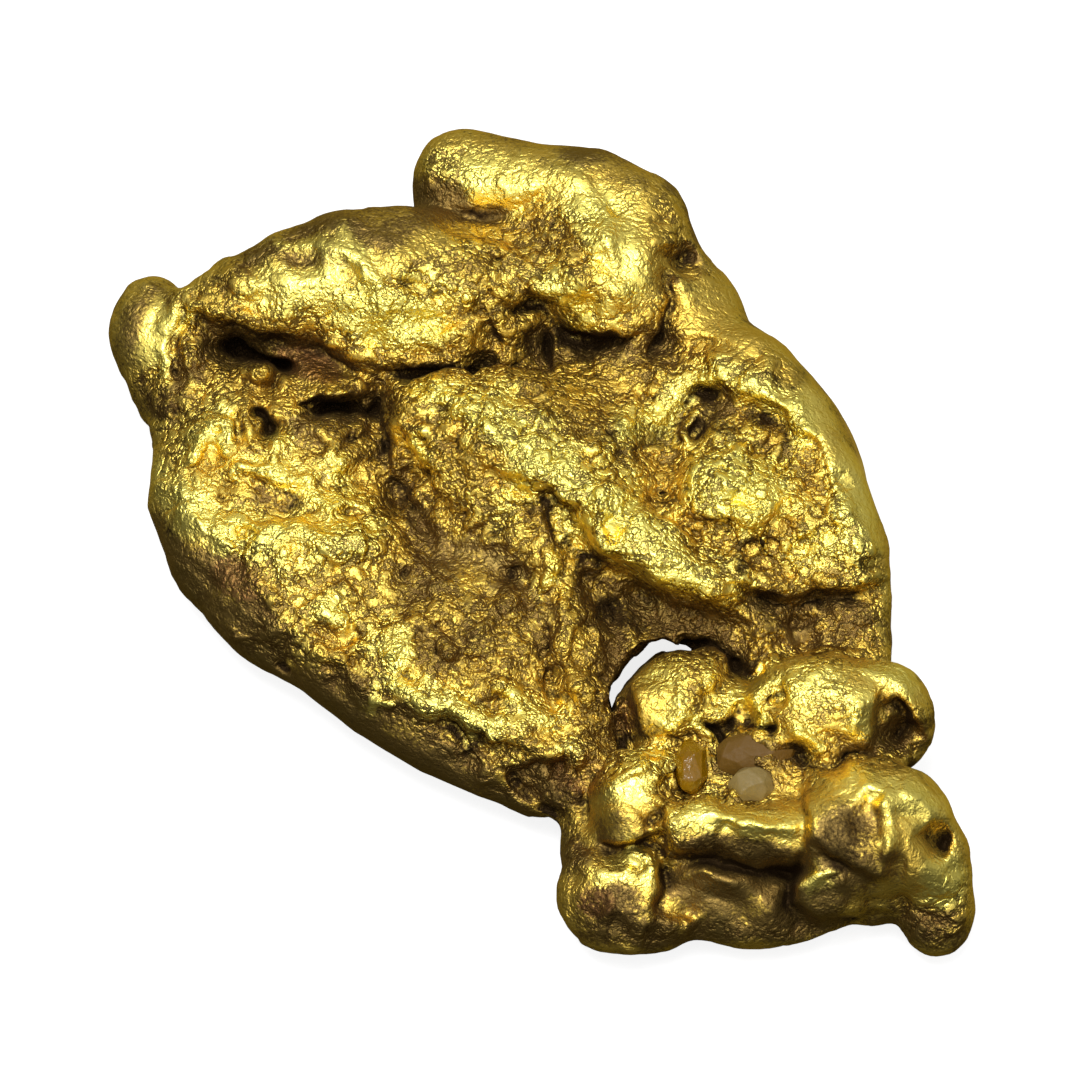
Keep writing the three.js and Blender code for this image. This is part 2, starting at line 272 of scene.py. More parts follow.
FOLDS = {
    "under the upper ridge": Roll((
        (-6.6, 3.75, 3.4, 0.35), (-5.8, 3.45, 3.4, 0.5), (-4.8, 3.05, 3.4, 0.45))),
    "beside the slab": Roll(((-2.9, 1.5, 3.6, 0.4), (-2.15, 0.4, 3.5, 0.4))),
    "under the tongue": Roll(((1.45, -0.9, 3.3, 0.5), (2.4, -1.6, 2.9, 0.5), (3.9, -1.95, 2.7, 0.4))),
    "under the top": Roll(((0.0, 3.75, 4.1, 0.4), (1.2, 3.65, 3.9, 0.4), (2.3, 3.9, 3.8, 0.35))),
    "top hollow": Roll(((-1.6, 6.5, 4.4, 0.4), (-0.3, 6.4, 4.6, 0.5))),
    "right hollow": Roll(((3.0, 2.3, 4.3, 0.4), (4.0, 2.1, 4.4, 0.5), (5.0, 1.4, 4.2, 0.4))),
    "grain hollow": Roll(((3.0, -4.6, 3.2, 0.5), (4.2, -4.7, 3.35, 0.6), (5.0, -4.6, 3.4, 0.45))),
    "knob pit": Roll(((7.2, -3.7, 3.4, 0.5), (7.3, -4.0, 3.1, 0.45))),
}

# The slit between the large and the small end, as right, up and half width along its middle.
SLIT = (
    (1.43, -3.35, 0.04), (1.44, -3.05, 0.09), (1.62, -2.78, 0.1), (1.88, -2.45, 0.15), (2.12, -2.22, 0.17),
    (2.42, -2.1, 0.13), (2.72, -2.14, 0.05), (3.0, -2.18, 0.03),
)


@dataclass(frozen=True)
class Stroke:
    """A feature of the skin, drawn as it shows along the line of sight.

    Attributes:
        form: How the skin runs across it.
        height: How far it stands out or goes in.
        width: Half its width.
        route: Right and up of the places that it passes; one place alone is a knob or a pit.
    """

    form: Form
    height: float
    width: float
    route: tuple[Spot, ...]


def drawn(form: Form, height: float, width: float, *route: float) -> Stroke:
    """Makes a stroke from a flat run of rights and ups.

    Args:
        form: How the skin runs across it.
        height: How far it stands out or goes in.
        width: Half its width.
        route: Right and up in turn.

    Returns:
        The stroke.
    """
    return Stroke(form, height, width, tuple(zip(route[::2], route[1::2])))


# One maker of strokes for each form, in the order that Form gives.
crest, ridge, bead, groove, hole, lip = (partial(drawn, form) for form in Form)

NUB_STROKES = (
    crest(0.10, 0.15, -7.25, 4.75, -7.45, 4.3, -7.6, 3.9, -7.5, 3.4),
    groove(0.25, 0.08, -7.05, 4.95, -7.2, 4.3, -7.33, 3.9, -7.28, 3.5, -7.1, 3.05),
    ridge(0.25, 0.3, -6.85, 3.75),
    hole(0.25, 0.1, -6.87, 3.7),
    groove(0.15, 0.1, -7.0, 4.7, -6.8, 4.4, -6.6, 4.1, -6.45, 3.9),
    groove(0.35, 0.12, -7.9, 2.5, -7.6, 2.35, -7.3, 2.45, -7.0, 2.7),
)

UPPER_RIDGE_STROKES = (
    crest(0.15, 0.12, -5.2, 5.8, -4.6, 5.9, -4.0, 5.9, -3.6, 5.6, -3.5, 5.2, -3.2, 4.9, -3.2, 4.5),
    hole(0.25, 0.2, -5.0, 5.55, -4.4, 5.5),
    hole(0.12, 0.25, -3.9, 5.4),
    crest(0.05, 0.14, -5.9, 5.2, -5.0, 5.1, -4.0, 5.1),
    hole(0.15, 0.14, -3.3, 5.1),
    groove(0.18, 0.08, -2.9, 5.0, -2.5, 5.05, -2.2, 4.9, -2.0, 4.7),
    hole(0.3, 0.12, -6.3, 4.95),
    groove(0.15, 0.05, -6.95, 5.05, -6.75, 4.95),
    lip(0.4, 0.26, -6.8, 4.5, -6.3, 4.3, -5.4, 4.25, -5.0, 4.1, -4.5, 3.9, -4.0, 3.7, -3.5, 3.4),
    lip(0.3, 0.13, -3.5, 3.6, -2.6, 3.5, -1.9, 3.5, -1.2, 3.45, -0.9, 3.5),
    ridge(0.2, 0.3, -1.5, 3.9),
    groove(0.18, 0.06, -3.0, 3.4, -2.6, 3.25, -2.1, 3.35, -1.3, 3.35, -0.9, 3.45),
    groove(0.16, 0.08, -1.7, 4.45, -1.2, 4.55, -0.7, 4.6, -0.3, 4.9),
    hole(0.5, 0.18, -0.4, 4.65),
    groove(0.12, 0.1, -0.9, 4.3, -0.85, 3.9),
    hole(1.6, 0.15, -6.4, 3.85, -6.0, 3.82, -5.6, 3.7, -5.2, 3.5, -4.85, 3.25),
    hole(0.9, 0.2, -5.35, 3.6, -5.0, 3.4),
    ridge(0.5, 0.15, -5.6, 3.4),
    hole(1.4, 0.14, -4.6, 2.5, -4.2, 2.63, -3.8, 2.58, -3.4, 2.52, -3.1, 2.62, -3.0, 2.9),
)

LEFT_STROKES = (
    lip(0.3, 0.14, -5.0, 2.75, -4.4, 2.85, -3.9, 2.85, -3.2, 2.95),
    hole(1.5, 0.17, -5.65, 2.55, -5.45, 2.3, -5.35, 2.0),
    hole(0.3, 0.14, -3.85, 2.0, -3.6, 1.9),
    groove(0.25, 0.1, -3.45, 1.55, -3.15, 1.7, -3.0, 2.1),
    groove(0.25, 0.07, -4.27, 0.0, -4.22, 0.3, -4.0, 0.47, -3.75, 0.5, -3.6, 0.45),
    hole(0.4, 0.08, -3.6, 0.2, -3.3, 0.36, -3.05, 0.42),
    groove(0.2, 0.05, -2.8, 0.42, -2.65, 0.35, -2.6, 0.05),
    groove(0.1, 0.05, -5.75, 0.8, -5.5, 0.7, -5.2, 0.55, -4.8, 0.42, -4.5, 0.4),
    hole(0.35, 0.1, -6.25, 0.7),
    hole(0.2, 0.08, -6.2, 1.15, -6.18, 1.0),
    crest(0.1, 0.2, -7.4, 1.05, -7.0, 0.8, -6.7, 0.45, -6.35, 0.15, -6.1, -0.05, -5.8, -0.05, -5.55, 0.08),
    crest(0.15, 0.14, -6.35, 0.3, -6.1, 0.35, -5.9, 0.4, -5.5, 0.28, -5.2, 0.1, -5.0, 0.2, -4.75, 0.15,
          -4.75, -0.05),
    crest(0.15, 0.2, -5.2, -0.1, -4.9, -0.2),
    hole(0.2, 0.1, -6.0, 0.2, -5.85, 0.22),
    crest(0.15, 0.12, -6.2, 1.45, -5.9, 1.5, -5.65, 1.35, -5.2, 1.25, -4.8, 1.25, -4.5, 1.2),
    crest(0.15, 0.18, -5.65, 1.38),
    crest(0.2, 0.11, -7.1, 1.55, -6.85, 1.8, -6.75, 2.05, -6.5, 2.35, -6.3, 2.4, -6.2, 2.2, -6.15, 1.95),
    crest(0.15, 0.08, -6.5, 2.1, -6.35, 1.9, -6.2, 1.75),
    hole(0.25, 0.28, -6.65, 1.6),
    groove(0.2, 0.07, -6.1, 2.55, -6.05, 2.2, -6.0, 1.95),
    bead(0.15, 0.14, -5.85, 2.75, -5.82, 2.3, -5.7, 1.95, -5.55, 1.65),
    crest(0.25, 0.14, -5.25, 1.95),
    crest(0.15, 0.12, -5.35, 1.65),
    bead(0.14, 0.1, -4.4, 2.3, -4.2, 2.15, -4.0, 1.95, -4.15, 1.75, -4.35, 1.65),
    bead(0.22, 0.18, -3.65, 2.15, -3.55, 2.12),
    crest(0.12, 0.12, -4.4, 1.5, -4.0, 1.55, -3.8, 1.65),
    crest(0.12, 0.1, -4.65, 0.9, -4.25, 0.65, -3.9, 0.85, -3.5, 0.8, -3.3, 0.9),
    crest(0.22, 0.32, -3.92, 0.08),
    ridge(0.18, 0.3, -3.1, 0.1),
    ridge(0.12, 0.3, -4.3, -0.2),
    lip(0.2, 0.16, -3.05, 3.3, -3.0, 2.4, -3.0, 1.9, -2.95, 1.5, -2.75, 1.2, -2.5, 0.9, -2.3, 0.6,
        -2.15, 0.3),
    groove(0.1, 0.06, -7.0, -0.4, -6.7, -0.75, -6.45, -0.95, -6.1, -1.0),
    ridge(0.1, 0.2, -5.5, -1.65, -5.2, -1.7, -4.9, -1.9),
    groove(0.15, 0.08, -5.9, -1.45, -5.3, -1.35, -4.9, -1.15),
    hole(0.4, 0.1, -5.2, -2.3, -4.95, -2.6),
)

SLAB_STROKES = (
    crest(0.1, 0.45, -1.8, 3.1, -1.0, 2.6, -0.4, 2.0, 0.3, 1.35, 1.1, 0.8, 1.9, 0.2, 2.7, -0.45,
          3.4, -1.0),
    bead(0.1, 0.07, -2.9, 2.5, -2.9, 1.9, -2.85, 1.5),
    crest(0.14, 0.07, -2.62, 2.0, -2.45, 1.7, -2.3, 1.5, -2.15, 1.52),
    crest(0.1, 0.07, -2.42, 2.15, -2.25, 2.0),
    hole(0.2, 0.12, -2.3, 1.82),
    groove(0.14, 0.09, -2.4, 2.62, -2.0, 2.6, -1.6, 2.68),
    crest(0.14, 0.09, -1.8, 2.45, -1.45, 2.65, -1.1, 2.85),
    crest(0.1, 0.12, -2.2, 2.98, -1.8, 3.0, -1.3, 3.0),
    groove(0.25, 0.07, -2.6, 2.35, -2.3, 2.4, -2.0, 2.25, -1.85, 2.1),
    groove(0.15, 0.08, -2.0, 1.75, -1.75, 1.85, -1.6, 1.7),
    crest(0.1, 0.2, -1.2, 2.4, -0.85, 2.3, -0.7, 2.0, -0.5, 1.75, -0.25, 1.5, 0.02, 1.45, 0.1, 1.15,
          0.4, 0.95),
    groove(0.14, 0.04, -0.55, 1.3, -0.4, 1.35, -0.2, 1.6, -0.1, 1.75, 0.15, 1.68),
    groove(0.12, 0.04, -0.55, 1.3, -0.8, 1.4),
    lip(0.4, 0.2, -1.0, 1.55, -0.6, 1.3, -0.1, 1.15, 0.1, 0.9, 0.5, 0.65, 0.95, 0.5),
    hole(0.35, 0.07, 0.82, 2.14),
    hole(0.4, 0.07, -1.45, 0.42),
    hole(0.12, 0.25, -1.3, 0.68),
    groove(0.35, 0.22, 0.5, 0.3, 0.75, 0.1, 0.85, -0.4, 1.0, -1.2, 1.0, -2.0),
    groove(0.2, 0.05, -0.35, 0.7, -0.15, 0.45),
    bead(0.1, 0.1, -0.2, 0.28),
    crest(0.2, 0.09, 1.08, 0.42, 1.15, 0.15, 1.3, -0.05, 1.4, -0.2),
    lip(0.5, 0.22, 1.2, -0.1, 1.35, -0.25, 1.7, -0.4, 2.1, -0.65, 2.5, -0.95, 3.0, -1.05, 3.4, -1.25,
        3.7, -1.45),
    groove(0.16, 0.05, 1.2, 0.5, 1.4, 0.48, 1.65, 0.65, 2.0, 0.62, 2.3, 0.45, 2.45, 0.3),
    groove(0.25, 0.08, 2.75, 0.6, 2.95, 0.25, 3.05, 0.0, 3.3, -0.35, 3.4, -0.7),
    crest(0.1, 0.18, 2.3, -0.2, 2.8, -0.5, 3.0, -0.7),
    ridge(0.08, 0.09, -2.1, 0.6, -2.0, 0.0, -1.95, -0.5),
    groove(0.2, 0.05, -2.3, -0.55, -2.0, -0.75, -1.7, -0.8),
    bead(0.1, 0.08, -2.3, -0.72, -1.9, -0.9, -1.65, -0.85),
    hole(0.35, 0.06, -2.7, -0.6, -2.75, -0.95),
)

PLAIN_STROKES = (
    crest(0.08, 0.22, -4.5, -1.25, -4.2, -1.4, -3.95, -1.7),
    hole(0.15, 0.06, -3.85, -1.65),
    groove(0.22, 0.07, -3.92, -2.15, -3.75, -1.95, -3.55, -1.85),
    crest(0.08, 0.17, -3.5, -2.0, -3.2, -2.1, -2.8, -2.2, -2.55, -2.35),
    bead(0.1, 0.08, -3.9, -2.28, -3.7, -2.1, -3.5, -2.05),
    hole(0.25, 0.14, -2.65, -2.65, -2.4, -2.68, -2.2, -2.5),
    ridge(0.12, 0.08, -4.4, -2.05, -4.1, -2.3, -3.9, -2.55, -3.7, -2.85, -3.45, -3.1),
    crest(0.12, 0.1, -3.4, -3.3, -3.1, -3.25, -2.85, -3.35),
    crest(0.08, 0.1, -2.95, -2.75, -2.7, -2.95, -2.35, -3.05, -2.2, -3.3, -2.35, -3.47),
    lip(0.3, 0.16, -2.7, -3.35, -2.0, -3.42, -1.5, -3.68, -1.0, -3.97, -0.4, -4.1, 0.3, -4.2),
    crest(0.07, 0.17, -2.35, -3.0, -2.0, -3.05, -1.6, -3.25, -1.3, -3.45, -1.05, -3.65, -0.7, -3.85),
    groove(0.22, 0.09, -2.1, -2.8, -1.6, -2.95, -1.2, -3.2, -0.9, -3.35, -0.5, -3.5),
    ridge(0.1, 0.07, -1.1, -3.1, -0.9, -2.95, -0.65, -2.85),
    crest(0.14, 0.13, -0.65, -2.85, -0.3, -3.25, 0.05, -3.5, 0.4, -3.7),
    crest(0.14, 0.12, -0.85, -3.45, -0.65, -3.6),
    crest(0.16, 0.12, -0.4, -3.78, -0.3, -3.76),
    crest(0.2, 0.09, 0.45, -3.95, 0.7, -4.15, 0.78, -4.35),
    ridge(0.16, 0.11, 0.5, -1.0, 0.5, -1.5, 0.45, -2.0, 0.45, -2.4, 0.6, -2.8, 0.7, -3.1, 0.75, -3.4),
    crest(0.15, 0.25, 0.05, -0.6, 0.3, -0.7),
    crest(0.1, 0.12, 0.1, -0.3),
    hole(0.12, 0.17, 0.1, -1.2, 0.3, -1.2),
    groove(0.1, 0.15, 0.2, -2.4, 0.2, -3.2, 0.5, -3.35),
    groove(0.2, 0.06, -0.3, -0.55, -0.5, -0.65, -0.62, -0.85),
    groove(0.2, 0.06, -0.85, -1.1, -1.08, -1.3),
    ridge(0.1, 0.1, -0.6, -1.0, -0.55, -1.25, -0.85, -1.35),
    groove(0.12, 0.05, -0.95, -1.8, -0.6, -1.75, -0.4, -1.95, -0.2, -2.0),
    ridge(0.08, 0.07, -1.4, -2.3, -1.35, -2.0, -1.1, -1.7, -0.95, -1.5),
    ridge(0.08, 0.07, -1.85, -2.3, -1.8, -2.15, -1.65, -2.1),
    groove(0.15, 0.07, -1.95, -2.1, -1.9, -2.3),
    ridge(0.08, 0.07, -1.1, -2.45, -0.9, -2.4, -0.7, -2.6),
    hole(0.4, 0.07, -0.6, -4.45, -0.5, -4.65, -0.4, -4.85),
    hole(0.7, 0.1, -0.4, -4.9, -0.2, -5.1, -0.05, -5.2, 0.15, -5.4, 0.45, -5.55),
    lip(0.3, 0.1, -0.4, -4.5, 0.0, -4.3, 0.5, -4.35),
    groove(0.25, 0.1, 1.05, -3.75, 1.1, -4.05, 1.3, -4.3),
)

RIGHT_STROKES = (
    crest(0.12, 0.45, 3.2, 0.85, 3.7, 1.2, 4.3, 0.9, 4.8, 0.7),
    crest(0.12, 0.3, 5.7, 1.4, 6.0, 0.7, 6.3, 0.0, 6.5, -0.5),
    lip(0.2, 0.16, 2.95, 0.75, 3.2, 0.5, 3.6, 0.42, 4.1, 0.38, 4.4, 0.5, 4.8, 0.52),
    groove(0.14, 0.05, 4.55, 1.42, 4.8, 1.45, 5.0, 1.35),
    ridge(0.1, 0.1, 4.6, 1.35, 4.8, 1.3, 5.0, 1.2),
    groove(0.12, 0.05, 4.7, 0.95, 5.0, 1.05, 5.3, 1.2, 5.5, 1.3),
    crest(0.12, 0.2, 3.85, 3.05, 4.3, 3.0, 4.6, 2.8, 5.0, 2.55, 5.3, 2.3, 5.55, 1.95),
    crest(0.12, 0.18, 5.85, 1.3, 5.95, 0.95, 6.1, 0.7, 6.2, 0.3, 6.3, -0.1, 6.6, -0.4),
    groove(0.2, 0.09, 5.5, 1.9, 5.7, 1.6, 5.78, 1.2, 5.9, 0.8, 5.85, 0.4),
    groove(0.2, 0.08, 3.85, 2.42, 4.3, 2.45, 4.7, 2.3, 4.95, 2.15),
    lip(0.2, 0.28, 1.9, 2.3, 2.4, 2.5, 2.8, 2.75, 3.1, 3.0, 3.6, 3.05, 4.2, 2.95, 4.9, 2.55, 5.45, 2.0,
        5.7, 1.5, 5.8, 0.8),
    hole(0.6, 0.06, 3.0, 2.0, 3.15, 2.2, 3.3, 2.35),
    groove(0.16, 0.06, 3.33, 2.5, 3.35, 2.65, 3.5, 2.85, 3.7, 2.97),
    groove(0.2, 0.04, 2.3, 0.97, 2.4, 0.93, 2.5, 1.0, 2.57, 1.05),
    bead(0.08, 0.06, 2.25, 1.03, 2.45, 1.02),
    hole(0.2, 0.08, 2.55, 1.65),
    crest(0.1, 0.16, 2.0, 2.4, 2.25, 2.5, 2.5, 2.55, 2.7, 2.75, 2.95, 3.05, 3.05, 3.3),
    crest(0.1, 0.1, 1.75, 2.35),
    bead(0.12, 0.13, 2.75, 2.15, 2.9, 2.15),
    groove(0.12, 0.08, 2.1, 2.1, 2.5, 1.98, 2.95, 2.0),
    hole(0.15, 0.07, 4.35, 1.85),
    crest(0.12, 0.12, 3.1, 3.3, 3.4, 3.2, 3.7, 3.4),
    crest(0.15, 0.07, 4.3, 0.0, 4.45, -0.2, 4.6, -0.45),
    groove(0.14, 0.05, 4.65, -0.2, 4.78, 0.0, 4.95, 0.15),
    ridge(0.12, 0.08, 4.75, -0.35, 4.85, -0.2, 5.0, -0.3),
    bead(0.14, 0.08, 5.7, -0.9, 5.9, -0.5, 6.05, -0.1),
    lip(0.4, 0.22, 3.95, -0.95, 4.5, -1.0, 5.0, -1.05, 5.6, -0.95, 6.1, -0.8, 6.75, -0.72),
    groove(0.25, 0.07, 5.0, -1.3, 5.3, -1.15, 5.6, -1.2, 5.8, -1.35),
    ridge(0.1, 0.12, 5.2, -1.3, 5.45, -1.3),
    groove(0.3, 0.08, 6.0, -1.0, 6.4, -1.05, 6.85, -1.05),
    hole(0.2, 0.05, 6.3, -0.35, 6.25, -0.5),
)

TOP_STROKES = (
    crest(0.08, 0.2, -1.6, 7.2, -1.1, 7.1, -0.6, 7.05, -0.2, 7.1, 0.1, 7.15),
    groove(0.3, 0.24, -2.2, 6.7, -1.7, 6.5, -1.2, 6.4, -0.7, 6.5, -0.2, 6.75, 0.1, 6.95),
    groove(0.15, 0.06, -1.3, 6.05, -0.8, 5.95),
    groove(0.15, 0.06, -0.4, 6.25, -0.1, 6.05),
    groove(0.15, 0.06, -0.5, 5.6, -0.3, 5.5),
    crest(0.1, 0.22, 0.4, 6.9, 0.9, 6.65, 1.3, 6.35, 1.4, 5.8, 1.5, 5.4),
    hole(0.18, 0.35, 0.6, 5.6),
    crest(0.1, 0.16, -0.2, 5.1, 0.3, 4.9, 0.7, 4.5, 1.15, 4.3),
    lip(0.5, 0.22, -0.35, 5.1, -0.2, 4.95, 0.25, 4.7, 0.65, 4.3, 1.2, 4.12, 1.8, 4.1),
    lip(0.35, 0.1, 0.2, 4.2, 0.22, 3.8, 0.3, 3.4),
    hole(0.15, 0.1, -1.9, 7.1),
    bead(0.1, 0.1, -2.4, 6.9, -2.15, 7.15),
    hole(1.0, 0.24, 3.2, 5.8, 2.95, 5.65, 2.75, 5.35),
    groove(0.6, 0.13, 2.6, 5.5, 2.5, 5.1, 2.55, 4.8, 2.45, 4.4, 2.35, 4.0, 2.05, 3.6),
    bead(0.1, 0.1, 3.1, 5.4, 3.2, 5.2),
    ridge(0.1, 0.2, 2.9, 4.95),
    groove(0.12, 0.1, 2.0, 3.6, 3.0, 4.0, 4.0, 3.9),
)

SMALL_END_STROKES = (
    hole(2.0, 0.1, 2.8, -2.1, 3.2, -2.2, 3.6, -2.3, 3.9, -2.5, 4.05, -2.65),
    crest(0.16, 0.08, 2.65, -2.4, 2.8, -2.6, 2.92, -2.8),
    crest(0.12, 0.08, 2.7, -2.75, 2.76, -3.05, 2.7, -3.2),
    lip(0.25, 0.1, 1.75, -2.85, 1.85, -3.2, 1.92, -3.6, 1.95, -3.9),
    groove(0.2, 0.06, 3.2, -3.35, 3.4, -3.05, 3.75, -3.0),
    crest(0.1, 0.15, 3.2, -2.7, 3.5, -2.75),
    crest(0.1, 0.12, 2.4, -3.8, 2.65, -3.7, 2.8, -3.6, 3.05, -3.6, 3.25, -3.68, 3.35, -3.9),
    groove(0.45, 0.08, 3.2, -3.55, 3.4, -3.7, 3.55, -3.95, 3.65, -4.2, 3.8, -4.5, 4.1, -4.6),
    groove(0.3, 0.07, 2.4, -3.88, 2.6, -4.0, 2.9, -4.1),
    crest(0.16, 0.13, 1.2, -4.95, 1.5, -4.75, 1.75, -4.6, 2.05, -4.35, 2.3, -4.25, 2.55, -4.4, 2.72, -4.7),
    groove(0.2, 0.1, 2.1, -4.85, 2.4, -4.9, 2.7, -4.95),
    groove(0.3, 0.05, 2.6, -4.98, 2.9, -4.96),
    ridge(0.1, 0.08, 1.45, -5.4),
    ridge(0.12, 0.08, 2.2, -5.1, 2.5, -5.3, 2.55, -5.6, 2.25, -5.8),
    groove(0.15, 0.06, 2.0, -5.6, 2.3, -5.5, 2.4, -5.35),
    lip(0.3, 0.1, 1.1, -5.9, 1.5, -6.05, 2.0, -5.95, 2.2, -5.75),
    groove(0.4, 0.08, 1.6, -4.1, 1.4, -4.5, 1.15, -4.85, 1.0, -5.2, 0.95, -5.6),
    crest(0.15, 0.13, 2.75, -5.45, 2.95, -5.2, 3.3, -5.25, 3.9, -5.5, 4.4, -5.6, 4.8, -5.6, 5.2, -5.65),
    ridge(0.12, 0.1, 2.15, -5.85, 2.4, -5.7, 2.7, -5.6),
    hole(0.6, 0.14, 2.6, -6.2, 3.0, -6.25, 3.5, -6.45, 4.3, -6.55, 5.2, -6.4, 5.45, -6.3),
    crest(0.14, 0.14, 1.65, -6.25, 1.9, -6.2, 2.2, -6.4, 2.35, -6.6),
    crest(0.08, 0.08, 1.05, -6.65, 1.4, -6.6, 1.9, -6.55),
    groove(0.12, 0.08, 1.2, -6.2, 1.45, -6.2),
    hole(0.12, 0.25, 1.1, -7.1),
    groove(0.12, 0.05, 1.05, -7.5, 1.3, -7.3),
    ridge(0.1, 0.07, 1.2, -7.6, 1.45, -7.3),
    groove(0.12, 0.05, 0.62, -6.5, 0.5, -6.9),
    lip(0.25, 0.16, 2.05, -7.9, 2.3, -7.4, 2.45, -7.0, 2.4, -6.5, 2.3, -6.3),
    groove(0.2, 0.08, 2.48, -6.5, 2.5, -6.9, 2.4, -7.3),
    ridge(0.12, 0.1, 2.6, -6.75, 3.2, -6.6, 3.6, -6.8, 4.0, -6.9),
    hole(0.15, 0.2, 2.85, -7.0),
    ridge(0.14, 0.12, 2.35, -7.4, 2.5, -7.65, 2.9, -7.7, 3.1, -7.55),
    hole(0.2, 0.15, 3.4, -7.1),
    crest(0.14, 0.15, 5.15, -6.65, 5.45, -6.62, 5.8, -6.6),
    lip(0.45, 0.14, 5.15, -6.4, 4.92, -6.7, 5.05, -7.1, 5.4, -7.4, 5.9, -7.45, 6.6, -7.35),
    hole(0.3, 0.15, 4.95, -7.0),
    bead(0.12, 0.1, 5.95, -6.75),
    hole(0.3, 0.12, 4.7, -3.18),
    bead(0.15, 0.08, 4.6, -3.12),
    groove(0.3, 0.07, 4.68, -3.55, 4.6, -3.9),
    crest(0.14, 0.14, 3.5, -3.5, 3.85, -3.3, 4.2, -3.15, 4.4, -2.85, 4.7, -2.5, 5.1, -2.4),
    crest(0.12, 0.1, 4.25, -3.3, 4.4, -3.5, 4.55, -3.65),
    crest(0.1, 0.2, 5.4, -2.6),
    crest(0.15, 0.13, 6.2, -2.9, 6.25, -3.2, 6.4, -3.6, 6.2, -3.85),
    lip(0.35, 0.12, 6.6, -4.1, 6.68, -3.7, 6.6, -3.2, 6.75, -2.95),
    lip(0.3, 0.12, 5.15, -6.2, 5.5, -6.0, 6.2, -6.55, 6.9, -6.7),
    lip(0.3, 0.14, 5.3, -4.9, 5.25, -5.4, 5.35, -5.9, 5.2, -6.2),
    lip(0.25, 0.1, 6.7, -5.0, 6.55, -5.4, 6.75, -5.9, 6.7, -6.3),
    lip(0.35, 0.12, 2.5, -5.55, 2.7, -5.95, 2.6, -6.1),
    lip(0.2, 0.16, 4.9, -3.8, 4.5, -3.75, 4.1, -3.7, 3.55, -3.7),
    lip(0.3, 0.12, 7.3, -6.2, 7.25, -6.8, 7.35, -7.4),
    crest(0.14, 0.1, 6.3, -2.6, 6.8, -2.6, 7.2, -2.8, 7.5, -3.1),
    hole(0.45, 0.34, 7.1, -3.5, 7.25, -3.95),
    lip(0.45, 0.12, 6.75, -3.2, 7.1, -3.05, 7.45, -3.35, 7.6, -3.7),
    crest(0.12, 0.12, 5.05, -3.75, 5.35, -3.9, 5.5, -4.1),
    groove(0.35, 0.1, 4.9, -4.2, 5.3, -4.38, 5.9, -4.4, 6.1, -4.2),
    crest(0.16, 0.1, 6.13, -4.4, 6.17, -4.7),
    crest(0.12, 0.12, 6.4, -4.7, 6.7, -5.0, 6.95, -5.1),
    crest(0.12, 0.08, 6.65, -5.2, 6.85, -5.6, 7.0, -5.9),
    ridge(0.1, 0.1, 6.55, -5.8, 6.85, -6.2),
    crest(0.1, 0.15, 7.0, -4.8, 7.5, -5.1, 7.85, -5.4),
    groove(0.25, 0.09, 6.95, -5.45, 7.4, -5.45, 7.7, -5.5),
    hole(1.3, 0.15, 7.55, -5.75, 7.8, -5.88, 8.0, -5.9),
    hole(0.2, 0.14, 7.1, -6.6),
    groove(0.14, 0.06, 5.6, -5.5, 5.65, -6.4),
    groove(0.1, 0.06, 6.2, -5.5, 6.3, -6.1),
    crest(0.12, 0.2, 7.9, -6.6, 8.15, -6.9),
    hole(0.15, 0.3, 7.9, -7.65),
    groove(0.45, 0.1, 7.25, -6.9, 7.35, -7.45),
    groove(0.25, 0.12, 5.9, -7.0, 6.6, -7.1, 7.2, -7.0),
)

# How strongly each form of stroke shows, against the height that it is written with.
STRENGTHS = {
    Form.CREST: 1.9, Form.RIDGE: 1.9, Form.BEAD: 1.4, Form.GROOVE: 0.9, Form.HOLE: 0.8, Form.LIP: 2.3,
}

STROKES = (
    NUB_STROKES + UPPER_RIDGE_STROKES + LEFT_STROKES + SLAB_STROKES + PLAIN_STROKES
    + RIGHT_STROKES + TOP_STROKES + SMALL_END_STROKES
)


@dataclass(frozen=True)
class Patch:
    """A patch of the skin with a finish of its own.

    Attributes:
        amount: How strongly, from 0 to 1.
        right: Right of its middle.
        up: Up of its middle.
        sizes: Half its length and half its width.
        turn: Turn of its length from the right, in degrees.
    """

    amount: float
    right: float
    up: float
    sizes: Spot
    turn: float = 0.0


